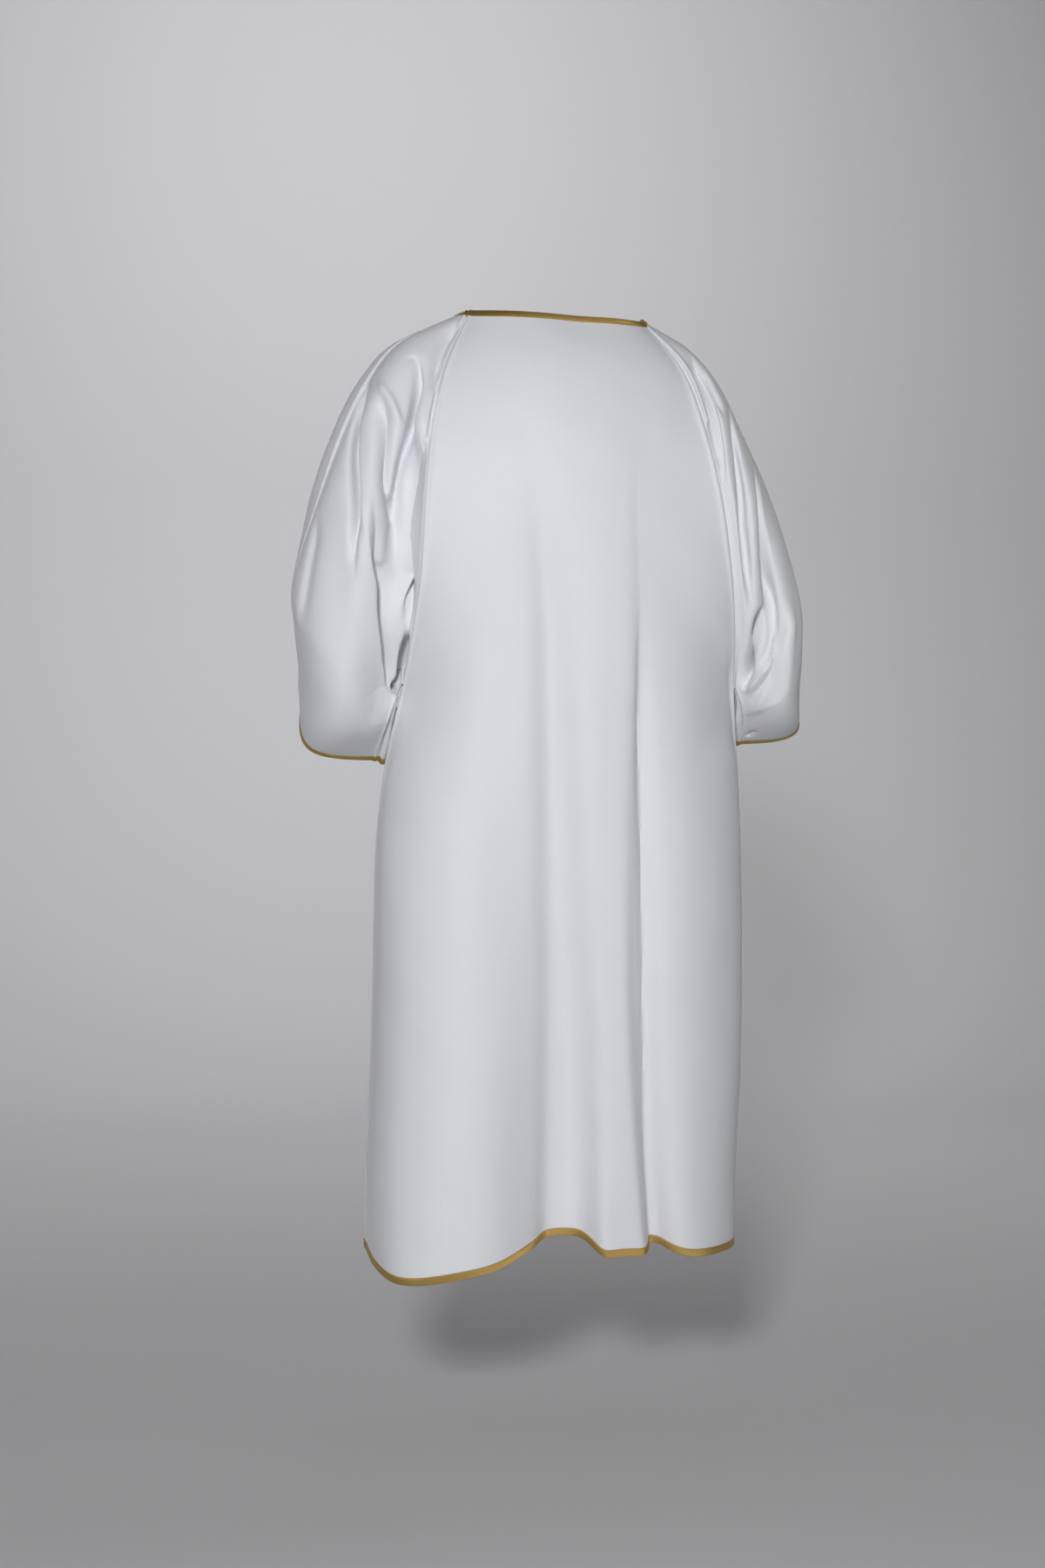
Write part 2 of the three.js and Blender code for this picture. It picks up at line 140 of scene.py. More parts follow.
def unit(vectors: np.ndarray) -> np.ndarray:
    """Vectors scaled to a length of 1."""
    return vectors / np.maximum(np.linalg.norm(vectors, axis=-1, keepdims=True), 1e-12)


def sheet_normals(points: np.ndarray) -> np.ndarray:
    """Outward normals of a grid: its slope down the rows crossed with its slope along them."""
    return unit(np.cross(np.gradient(points, axis=0), np.gradient(points, axis=1)))


@dataclass(frozen=True)
class Track:
    """Values at stations down the garment, joined by smooth curves."""

    rows: Rows

    def at(self, stations: np.ndarray) -> np.ndarray:
        """The values at some stations. Between two rows of the table they follow the cubic
        whose slope at each row is the slope between that row's two neighbours.

        Args:
            stations: places down the garment.

        Returns:
            One row of values for each station.
        """
        table = np.array(self.rows)
        place, value = table[:, 0], table[:, 1:]
        before = np.maximum(np.arange(len(place)) - 1, 0)
        after = np.minimum(np.arange(len(place)) + 1, len(place) - 1)
        slope = (value[after] - value[before]) / (place[after] - place[before])[:, None]
        i = np.clip(np.searchsorted(place, stations) - 1, 0, len(place) - 2)
        span = (place[i + 1] - place[i])[:, None]
        k = (stations - place[i])[:, None] / span
        start, end = slope[i] * span, slope[i + 1] * span
        rise = value[i + 1] - value[i]
        return value[i] + k * (start + k * (3 * rise - 2 * start - end + k * (start + end - 2 * rise)))


@dataclass(frozen=True)
class SeamLine:
    """A seam: one table down to the underarm point and one below it."""

    upper: Track
    lower: Track

    def at(self, stations: np.ndarray) -> np.ndarray:
        """The seam's points at some stations."""
        above = (stations <= 1)[:, None]
        return np.where(above, self.upper.at(stations), self.lower.at(stations))

    def softened(self, stations: np.ndarray, softness: np.ndarray) -> np.ndarray:
        """The seam with its bend at the underarm rounded: the mean of its points over a short
        stretch on both sides of each station, which shrinks to nothing at the two ends. A seam
        of one table has no such bend.

        Args:
            stations: places down the garment.
            softness: the share of that stretch to use, for each column.

        Returns:
            Points, stations by columns by 3.
        """
        shape = (len(stations), len(softness))
        if self.upper is self.lower:
            return np.broadcast_to(self.at(stations)[:, None], (*shape, 3))
        reach = np.minimum(SOFTENING, np.minimum(stations, 2 - stations))[:, None] * softness[None, :]
        ways = np.linspace(-1, 1, SOFTENING_STEPS)
        steps = [self.at((stations[:, None] + k * reach).ravel()) for k in ways]
        return np.mean(steps, axis=0).reshape(*shape, 3)


# ---------------------------------------------------------------- folds and creases


@dataclass(frozen=True)
class Fold:
    """A large fold that runs from one place (share of the row, station) to another, its middle
    lying off the straight line between them by bow."""

    name: str
    start: Place
    stop: Place
    bow: float
    push: float
    before: float
    after: float
    end: FoldEnd

    def heights(self, across: np.ndarray, stations: np.ndarray) -> np.ndarray:
        """A bell across the fold, wider at its top, that grows along it.

        Args:
            across: the share of each column from the row's first seam.
            stations: the station of each row.

        Returns:
            Height over the plain sheet in millimetres, rows by columns.
        """
        k = np.clip((stations - self.start[1]) / (self.stop[1] - self.start[1]), 0, 1)[:, None]
        middle = self.start[0] + (self.stop[0] - self.start[0]) * k + self.bow * 4 * k * (1 - k)
        offset = across[None, :] - middle
        reach = np.where(offset < 0, self.before, self.after) * (1 + TOP_SOFTNESS * (1 - k))
        along = k**HANGING_GROWTH if self.end is FoldEnd.HANGING else np.sin(np.pi * k) ** CLOSING_SWELL
        return self.push * np.exp(-((offset / reach) ** 2)) * along


@dataclass(frozen=True)
class Crease:
    """A fine crease along a path of places (share of the row from its first seam, station).
    On a path that runs down, before is its half width on the first seam's side."""

    name: str
    path: tuple[Place, ...]
    push: float
    before: float
    after: float
    open_end: bool = False

    def heights(self, chart: "Chart") -> np.ndarray:
        """A bell across the path by true distance over the cloth, faded at the path's start, and
        at its end unless that stays open.

        Args:
            chart: the sheet's distances.

        Returns:
            Height over the sheet in millimetres, rows by columns.
        """
        path = chart.places(smooth_path(np.array(self.path)))
        start, step = path[:-1], np.diff(path, axis=0)
        size = np.linalg.norm(step, axis=1)
        done = np.concatenate([[0], np.cumsum(size)[:-1]])
        best = np.full(chart.across.shape, 1e9)
        side = np.zeros_like(best)
        along = np.zeros_like(best)
        for (x, y), (dx, dy), length, before in zip(start, step, size, done):
            rx, ry = chart.across - x, chart.down - y
            k = np.clip((rx * dx + ry * dy) / length**2, 0, 1)
            away = np.hypot(rx - k * dx, ry - k * dy)
            nearer = away < best
            best = np.where(nearer, away, best)
            side = np.where(nearer, np.sign(rx * dy - ry * dx), side)
            along = np.where(nearer, before + k * length, along)
        share = along / size.sum()
        reach = np.where(side < 0, self.before, self.after)
        fade = smoothstep(0, CREASE_FADE, share)
        if not self.open_end:
            fade = fade * smoothstep(0, CREASE_FADE, 1 - share)
        return self.push * np.exp(-((best / reach) ** 2)) * fade


def smooth_path(corners: np.ndarray) -> np.ndarray:
    """A rounded path through a few corners: each stretch is a cubic whose slopes at its ends
    are half the way between the corners on either side.

    Args:
        corners: the path's corners, one row each.

    Returns:
        Eight points for each stretch and the last corner.
    """
    count = len(corners)
    place = np.arange(count, dtype=float)
    rows = tuple(map(tuple, np.column_stack([place, corners])))
    return Track(rows).at(np.linspace(0, count - 1, 8 * (count - 1) + 1))


@dataclass(frozen=True)
class Chart:
    """True distances over a sheet, in millimetres, and how to find a place on it."""

    shares: np.ndarray
    stations: np.ndarray
    across: np.ndarray
    down: np.ndarray

    @classmethod
    def of(cls, shares: np.ndarray, stations: np.ndarray, points: np.ndarray) -> "Chart":
        """Measures a sheet: across from the middle of each row, down from its first row.

        Args:
            shares: the share of each column.
            stations: the station of each row.
            points: the sheet's grid of points.

        Returns:
            The chart of that sheet.
        """
        run = lengths(points, axis=1)
        middle = run[:, [len(shares) // 2]]
        drop = lengths(points, axis=0)
        down = np.broadcast_to(drop.mean(axis=1, keepdims=True), run.shape)
        return cls(shares, stations, run - middle, down)

    def places(self, path: np.ndarray) -> np.ndarray:
        """The chart's distances at places given as (share, station).

        Args:
            path: places, one row each.

        Returns:
            Distance across and down at each of them.
        """
        row = np.interp(path[:, 1], self.stations, np.arange(len(self.stations)))
        i = np.clip(row.astype(int), 0, len(self.stations) - 2)
        k = row - i
        across = [
            np.interp(u, self.shares, self.across[n] * (1 - part) + self.across[n + 1] * part)
            for u, n, part in zip(path[:, 0], i, k)
        ]
        down = self.down[i, 0] * (1 - k) + self.down[i + 1, 0] * k
        return np.column_stack([across, down])


def ripple(chart: Chart, height: float, seed: int) -> np.ndarray:
    """Slight unevenness of hanging cloth: a sum of long sine waves in many directions.

    Args:
        chart: the sheet's distances.
        height: the height of the sum in millimetres, about.
        seed: fixes the waves.

    Returns:
        Height over the sheet in millimetres.
    """
    draw = np.random.default_rng(seed)
    total = np.zeros(chart.across.shape)
    waves, shortest, longest, spread = 14, 55, 190, 0.45
    for _ in range(waves):
        length = draw.uniform(shortest, longest)
        lean = draw.normal(0, spread)
        phase = draw.uniform(0, 2 * np.pi)
        way = chart.across * math.cos(lean) + chart.down * math.sin(lean)
        total += np.sin(2 * np.pi * way / length + phase)
    return total * height / math.sqrt(waves)


# ---------------------------------------------------------------- tables

LEFT_SIDE = Track((
    (1.0, 201, 10, -485),
    (1.15, 224.0, 8, -596),
    (1.3, 235, 4, -706),
    (1.5, 238, 0, -853),
    (1.7, 243, 0, -1001),
    (1.85, 249, 0, -1115),
    (2.0, 250, 0, -1226),
))
RIGHT_SIDE = Track((
    (1.0, -244, 12, -490),
    (1.15, -249, 8, -598),
    (1.3, -253, 4, -706),
    (1.5, -256, 0, -853),
    (1.7, -254, 0, -1003),
    (1.85, -248, 0, -1116),
    (2.0, -245, 0, -1233),
))
LEFT_BACK_RAGLAN = Track((
    (0.0, 114, 24, 2),
    (0.2, 150, 66, -70),
    (0.4, 171, 93, -150),
    (0.6, 181, 103, -235),
    (0.8, 187, 88, -345),
    (0.9, 193, 58, -410),
    (1.0, 201, 10, -485),
))
LEFT_FRONT_RAGLAN = Track((
    (0.0, 100, -60, -26),
    (0.2, 132, -88, -90),
    (0.4, 160, -108, -165),
    (0.6, 176, -112, -250),
    (0.8, 187, -92, -350),
    (0.9, 194, -52, -412),
    (1.0, 201, 10, -485),
))
RIGHT_BACK_RAGLAN = Track((
    (0.0, -116, 24, -8),
    (0.2, -163, 63, -72),
    (0.4, -187, 93, -150),
    (0.6, -208, 100, -238),
    (0.8, -226, 86, -345),
    (0.9, -235, 60, -412),
    (1.0, -244, 12, -490),
))
RIGHT_FRONT_RAGLAN = Track((
    (0.0, -102, -60, -36),
    (0.2, -140, -88, -95),
    (0.4, -172, -108, -165),
    (0.6, -196, -112, -250),
    (0.8, -219, -92, -350),
    (0.9, -231, -50, -413),
    (1.0, -244, 12, -490),
))
LEFT_OVERARM = Track((
    (0.0, 122, -14, 4),
    (0.2, 203, 8, -40),
    (0.4, 246, 24, -93),
    (0.6, 281, 34, -166),
    (0.8, 312, 28, -255),
    (1.0, 341, -6, -347),
    (1.25, 336, -52, -390),
    (1.5, 321, -102, -412),
    (1.75, 300, -154, -418),
    (2.0, 270, -202, -414),
))
RIGHT_OVERARM = Track((
    (0.0, -120, -14, 0),
    (0.2, -177, -6, -38),
    (0.4, -222, -4, -87),
    (0.6, -262, -4, -158),
    (0.8, -301, -6, -248),
    (1.0, -330, -20, -345),
    (1.25, -331, -56, -390),
    (1.5, -319, -106, -411),
    (1.75, -302, -156, -417),
    (2.0, -272, -202, -413),
))
LEFT_UNDERARM = Track((
    (1.0, 201, 10, -485),
    (1.25, 210, 9, -512),
    (1.5, 219, -8, -541),
    (1.75, 224, -28, -565),
    (2.0, 229, -50, -586),
))
RIGHT_UNDERARM = Track((
    (1.0, -244, 12, -490),
    (1.25, -253, 6, -509),
    (1.5, -258, -8, -528),
    (1.75, -260, -28, -548),
    (2.0, -260, -50, -566),
))

# Crest lines: station, the middle point of each row, and how round the row is beside its
# first and its last seam. At 1 it is a quarter of an ellipse; towards 0 a soft hump.
BACK_CREST = Track((
    (0.0, -2, 60, -6, 1.0, 1.0),
    (0.2, -5, 100, -71, 0.6, 0.6),
    (0.4, -7, 124, -150, 0.4, 0.4),
    (0.6, -10, 136, -236, 0.4, 0.4),
    (0.8, -13, 141, -345, 0.6, 0.6),
    (1.0, -14, 144, -487, 0.8, 0.8),
    (1.3, -8, 147, -706, 1.0, 1.0),
    (1.6, -4, 150, -927, 1.0, 1.0),
    (2.0, 0, 152, -1225, 1.0, 1.0),
))
FRONT_CREST = Track((
    (0.0, -2, -98, -88, 1.0, 1.0),
    (0.2, -4, -128, -140, 0.7, 0.7),
    (0.4, -6, -145, -200, 0.5, 0.5),
    (0.6, -8, -151, -270, 0.5, 0.5),
    (0.8, -10, -152, -355, 0.7, 0.7),
    (1.0, -14, -150, -487, 0.8, 0.8),
    (1.3, -8, -152, -706, 1.0, 1.0),
    (1.6, -4, -158, -927, 1.0, 1.0),
    (2.0, 0, -166, -1227, 1.0, 1.0),
))
LEFT_SLEEVE_BACK_CREST = Track((
    (0.0, 120, 6, 4, 0.6, 0.6),
    (0.2, 186, 44, -43, 0.6, 0.6),
    (0.4, 223, 74, -107, 0.6, 0.6),
    (0.6, 246, 90, -192, 0.7, 0.6),
    (0.8, 265, 95, -300, 0.9, 0.6),
    (1.0, 286, 80, -425, 1.0, 0.6),
    (1.25, 300, 62, -478, 1.0, 0.7),
    (1.5, 312, 28, -516, 1.0, 0.65),
    (1.75, 324, -14, -539, 0.95, 0.5),
    (2.0, 330, -60, -554, 0.65, 0.4),
))
LEFT_SLEEVE_FRONT_CREST = Track((
    (0.0, 114, -38, -7, 0.6, 0.6),
    (0.2, 189, -48, -42, 0.6, 0.8),
    (0.4, 236, -66, -97, 0.6, 0.85),
    (0.6, 268, -78, -182, 0.6, 0.95),
    (0.8, 291, -92, -291, 0.6, 1.0),
    (1.0, 286, -92, -403, 0.6, 1.0),
    (1.25, 240, -86, -451, 0.75, 1.0),
    (1.5, 222, -80, -483, 0.85, 1.0),
    (1.75, 216, -100, -506, 0.95, 1.0),
    (2.0, 212, -126, -519, 1.0, 1.0),
))
RIGHT_SLEEVE_BACK_CREST = Track((
    (0.0, -119, 6, 0, 0.6, 0.6),
    (0.2, -178, 42, -49, 0.6, 0.6),
    (0.4, -211, 72, -108, 0.6, 0.6),
    (0.6, -238, 88, -192, 0.6, 0.7),
    (0.8, -266, 94, -298, 0.6, 0.9),
    (1.0, -298, 78, -420, 0.6, 1.0),
    (1.25, -315, 60, -470, 0.7, 1.0),
    (1.5, -328, 26, -503, 0.65, 1.0),
    (1.75, -342, -16, -524, 0.5, 0.95),
    (2.0, -352, -58, -533, 0.4, 0.65),
))
RIGHT_SLEEVE_FRONT_CREST = Track((
    (0.0, -112, -38, -14, 0.6, 0.6),
    (0.2, -171, -55, -51, 0.6, 0.6),
    (0.4, -208, -78, -108, 0.6, 0.6),
    (0.6, -236, -90, -196, 0.7, 0.6),
    (0.8, -266, -94, -300, 0.9, 0.6),
    (1.0, -286, -84, -405, 1.0, 0.6),
    (1.25, -262, -88, -448, 1.0, 0.75),
    (1.5, -244, -80, -476, 1.0, 0.85),
    (1.75, -236, -100, -494, 1.0, 0.95),
    (2.0, -228, -126, -504, 1.0, 1.0),
))

# Creases: place by place along each, then its height, its half widths and its lower end.
BACK_CREASES = (
    Crease("right crease", ((0.65, 0.8), (0.629, 0.946), (0.62, 1.17), (0.625, 1.48),
                            (0.636, 1.78), (0.657, 2.0)), -9, 3.5, 16, open_end=True),
    Crease("trough step", ((0.375, 0.42), (0.4, 0.6), (0.422, 0.78), (0.443, 1.0), (0.462, 1.25),
                           (0.474, 1.56), (0.482, 2.0)), -13, 19, 90, open_end=True),
    Crease("side fold", ((0.93, 0.93), (0.945, 1.0), (0.955, 1.07), (0.965, 1.15)), -3, 10, 8),
)
POUCH_LINE = ((0.604, 0.815), (0.645, 0.859), (0.666, 0.913), (0.718, 0.978), (0.78, 1.04),
              (0.842, 1.125), (0.925, 1.214))
LEFT_SLEEVE_CREASES = (
    Crease("outer groove", ((0.065, 0.391), (0.21, 0.467), (0.262, 0.522), (0.303, 0.576), (0.376, 0.641),
                            (0.438, 0.696), (0.479, 0.75), (0.5, 0.815), (0.52, 0.88)), -15, 9, 3),
    Crease("outer ridge", ((0.2, 0.42), (0.3, 0.49), (0.36, 0.56), (0.42, 0.63), (0.49, 0.7),
                           (0.53, 0.76), (0.56, 0.82)), 7, 4, 18),
    Crease("pouch edge", ((0.54, 0.68), *POUCH_LINE), 13, 34, 3),
    Crease("under the pouch", ((0.57, 0.72), *POUCH_LINE), -17, 3, 16),
    Crease("slanting ridge", ((0.3, 0.385), (0.448, 0.413), (0.552, 0.435), (0.624, 0.467), (0.68, 0.49)),
           5, 7, 7),
    Crease("middle hollow", ((0.42, 0.43), (0.531, 0.489), (0.583, 0.543), (0.624, 0.609), (0.666, 0.663),
                             (0.7, 0.71)), -17, 14, 10),
    Crease("hooked groove", ((0.49, 0.295), (0.562, 0.261), (0.635, 0.258), (0.69, 0.28), (0.722, 0.32),
                             (0.73, 0.37), (0.728, 0.435), (0.718, 0.511), (0.718, 0.587), (0.728, 0.641),
                             (0.738, 0.707), (0.738, 0.761), (0.738, 0.83)), -16, 8, 3),
    Crease("hooked ridge", ((0.76, 0.3), (0.79, 0.37), (0.79, 0.435), (0.78, 0.511), (0.78, 0.587),
                            (0.79, 0.641), (0.8, 0.72)), 5, 4, 14),
    Crease("pocket", ((0.68, 0.66), (0.71, 0.69), (0.725, 0.72)), -8, 12, 5),
    Crease("inner hook", ((0.769, 0.835), (0.801, 0.815), (0.842, 0.812), (0.904, 0.815), (0.95, 0.837),
                          (0.975, 0.87), (0.98, 0.92)), -9, 9, 3),
    Crease("gap", ((0.98, 0.9), (0.955, 0.95), (0.935, 1.0), (0.925, 1.06), (0.93, 1.12), (0.95, 1.19)),
           -30, 5, 6),
    Crease("outer hollow", ((0.15, 0.8), (0.19, 0.86), (0.21, 0.9), (0.231, 0.95), (0.241, 1.02),
                            (0.251, 1.18)), -5, 8, 15),
    Crease("raglan fold", ((0.82, 0.03), (0.842, 0.07), (0.873, 0.152), (0.915, 0.217), (0.925, 0.283),
                           (0.946, 0.33)), -11, 12, 5),
    Crease("seam dip", ((0.95, 0.42), (0.965, 0.52), (0.965, 0.65), (0.96, 0.78), (0.955, 0.93)), -34, 40, 5),
    Crease("level fold", ((0.63, 0.84), (0.676, 0.826), (0.728, 0.815)), -5, 22, 4),
)
RIGHT_SLEEVE_CREASES = (
    Crease("seam groove", ((0.04, 0.38), (0.035, 0.44), (0.03, 0.49), (0.03, 0.53)), -7, 3, 7),
    Crease("inner groove", ((0.479, 0.185), (0.36, 0.261), (0.32, 0.359), (0.282, 0.424), (0.241, 0.467),
                            (0.199, 0.511), (0.148, 0.554), (0.05, 0.59)), -8, 8, 4),
    Crease("middle groove", ((0.62, 0.44), (0.53, 0.5), (0.479, 0.554), (0.417, 0.609), (0.365, 0.663),
                             (0.313, 0.717), (0.293, 0.772), (0.272, 0.826), (0.251, 0.9)), -10, 9, 3.5),
    Crease("upper groove", ((0.417, 0.25), (0.407, 0.348), (0.407, 0.413), (0.427, 0.46)), -5, 7, 6),
    Crease("outer groove", ((0.66, 0.64), (0.59, 0.71), (0.555, 0.745), (0.531, 0.783), (0.51, 0.837),
                            (0.5, 0.88), (0.5, 0.95)), -10, 9, 3.5),
    Crease("pouch edge", ((0.56, 0.74), (0.53, 0.8), (0.505, 0.87), (0.485, 0.93), (0.45, 0.985),
                          (0.4, 1.03)), -10, 15, 5),
    Crease("pouch hollow", ((0.4, 0.9), (0.35, 0.935), (0.3, 0.955), (0.24, 0.975), (0.17, 0.998),
                            (0.09, 1.03)), -44, 15, 8),
    Crease("pouch lip", ((0.46, 0.98), (0.42, 1.025), (0.36, 1.05), (0.28, 1.06), (0.19, 1.07),
                         (0.09, 1.09)), 12, 4, 14),
    Crease("lower ridge", ((0.604, 0.93), (0.57, 1.0), (0.521, 1.036), (0.396, 1.143), (0.21, 1.268),
                           (0.03, 1.482)), 6, 9, 13),
    Crease("seam dip", ((0.04, 0.5), (0.045, 0.7), (0.045, 0.9), (0.04, 1.0)), -5, 5, 14),
    Crease("cuff dimple", ((0.14, 1.7), (0.096, 1.86)), -3, 5, 4),
)

BACK_FOLDS = (
    Fold("left lobe", (0.17, 0.85), (0.17, 2.0), 0, 46, 0.13, 0.18, FoldEnd.HANGING),
    Fold("middle trough", (0.34, 0.3), (0.512, 2.0), 0.022, -50, 0.085, 0.034, FoldEnd.HANGING),
    Fold("trough foot", (0.4, 1.0), (0.458, 2.0), 0, -12, 0.07, 0.045, FoldEnd.HANGING),
    Fold("right shelf", (0.65, 0.5), (0.6, 2.0), -0.06, -15, 0.05, 0.1, FoldEnd.HANGING),
    Fold("right crease", (0.705, 0.42), (0.655, 2.0), -0.062, -22, 0.012, 0.045, FoldEnd.HANGING),
)
FRONT_FOLDS = (
    Fold("right lobe", (0.2, 0.8), (0.22, 2.0), 0, 19, 0.09, 0.09, FoldEnd.HANGING),
    Fold("right trough", (0.36, 0.5), (0.37, 2.0), 0, -20, 0.06, 0.06, FoldEnd.HANGING),
    Fold("centre lobe", (0.5, 0.8), (0.5, 2.0), 0, 15, 0.07, 0.07, FoldEnd.HANGING),
    Fold("left trough", (0.66, 0.5), (0.65, 2.0), 0, -22, 0.06, 0.06, FoldEnd.HANGING),
    Fold("left lobe", (0.8, 0.8), (0.79, 2.0), 0, 19, 0.09, 0.09, FoldEnd.HANGING),
)
LEFT_SLEEVE_BACK_FOLDS = (
    Fold("armpit crease", (0.66, 0.22), (0.725, 0.95), 0.06, -20, 0.07, 0.06, FoldEnd.CLOSING),
    Fold("outer crease", (0.13, 0.38), (0.5, 0.8), 0.04, -9, 0.06, 0.07, FoldEnd.CLOSING),
    Fold("underarm tuck", (0.64, 0.72), (0.86, 1.45), 0, -24, 0.06, 0.12, FoldEnd.CLOSING),
)
RIGHT_SLEEVE_BACK_FOLDS = (
    Fold("armpit crease", (0.64, 0.16), (0.95, 0.62), 0, -10, 0.07, 0.06, FoldEnd.CLOSING),
    Fold("outer crease", (0.46, 0.42), (0.74, 0.9), 0.05, -11, 0.06, 0.07, FoldEnd.CLOSING),
    Fold("underarm tuck", (0.46, 0.7), (0.72, 1.35), 0, -24, 0.06, 0.12, FoldEnd.CLOSING),
)
SLEEVE_FRONT_FOLDS = (
    Fold("elbow crease", (0.55, 0.85), (0.45, 1.55), 0, -16, 0.12, 0.12, FoldEnd.CLOSING),
)


# ---------------------------------------------------------------- meshes


def dress_mesh(
    name: str, points: np.ndarray, faces: np.ndarray, places: np.ndarray, material: bpy.types.Material
) -> bpy.types.Object:
    """Makes an object at the origin from arrays, smooth but for its sharp edges.

    Args:
        name: the object's name.
        points: its vertices in metres.
        faces: its faces, four vertices each.
        places: where each vertex lies on the flat cloth or tape, in metres.
        material: its finish.

    Returns:
        The object, linked into the scene.
    """
    mesh = bpy.data.meshes.new(name)
    mesh.from_pydata(points.tolist(), [], faces.tolist())
    mesh.attributes.new(THREAD_PLACE, "FLOAT_VECTOR", "POINT").data.foreach_set("vector", places.ravel())
    mesh.polygons.foreach_set("use_smooth", np.ones(len(faces), dtype=bool))
    mesh.set_sharp_from_angle(angle=math.radians(SHARP_ANGLE))
    mesh.materials.append(material)
    mesh.update()
    piece = bpy.data.objects.new(name, mesh)
    bpy.context.scene.collection.objects.link(piece)
    return piece


def grid_faces(rows: int, columns: int) -> np.ndarray:
    """Faces of a grid of points, turned so that they face along slope down cross slope along."""
    corner = (np.arange(rows - 1)[:, None] * columns + np.arange(columns - 1)[None, :]).ravel()
    return np.column_stack([corner, corner + columns, corner + columns + 1, corner + 1])


def border_run(rows: int, columns: int) -> np.ndarray:
    """The vertices round a grid, down its first column and back up its last.

    Args:
        rows: the number of rows of points.
        columns: the number of columns.

    Returns:
        Their numbers in order.
    """
    down = np.arange(rows) * columns
    along = (rows - 1) * columns + np.arange(1, columns)
    up = down[::-1][1:] + columns - 1
    back = np.arange(columns - 2, 0, -1)
    return np.concatenate([down, along, up, back])


def wall_faces(rows: int, columns: int) -> np.ndarray:
    """Faces of a closed wall: the outer grid, the inner grid turned over, and the border.

    Args:
        rows: the number of rows of points.
        columns: the number of columns.

    Returns:
        Four vertex numbers for each face.
    """
    outer = grid_faces(rows, columns)
    inner = outer[:, ::-1] + rows * columns
    run = border_run(rows, columns)
    following = np.roll(run, -1)
    rim = np.column_stack([run, run + rows * columns, following + rows * columns, following])
    return np.concatenate([outer, inner, rim])


# ---------------------------------------------------------------- cloth pieces


@dataclass(frozen=True)
class PressedSeam:
    """How the cloth lies beside a seam, in millimetres: drawn in on the seam itself, raised over
    the turnings beside it, and slightly puckered for a few centimetres."""

    depth: float = 2.6
    depth_reach: float = 2.6
    turning: float = 1.3
    turning_at: float = 5.5
    turning_reach: float = 3.2
    pucker: float = 0.16
    pucker_length: float = 23
    pucker_drift: float = 1.7
    drift_length: float = 41
    pucker_from: float = 4
    pucker_reach: float = 14

    def heights(self, away: np.ndarray, down: np.ndarray) -> np.ndarray:
        """A valley, a ridge and a drifting sine wave along the seam, each under a bell.

        Args:
            away: the distance of each point from its nearer seam.
            down: its distance down the piece.

        Returns:
            Height over the sheet.
        """
        valley = -self.depth * np.exp(-((away / self.depth_reach) ** 2))
        ridge = self.turning * np.exp(-(((away - self.turning_at) / self.turning_reach) ** 2))
        drift = self.pucker_drift * np.sin(down / self.drift_length)
        wave = self.pucker * np.sin(2 * np.pi * down / self.pucker_length + drift)
        near = np.exp(-((away / self.pucker_reach) ** 2)) * smoothstep(0, self.pucker_from, away)
        return valley + ridge + wave * near


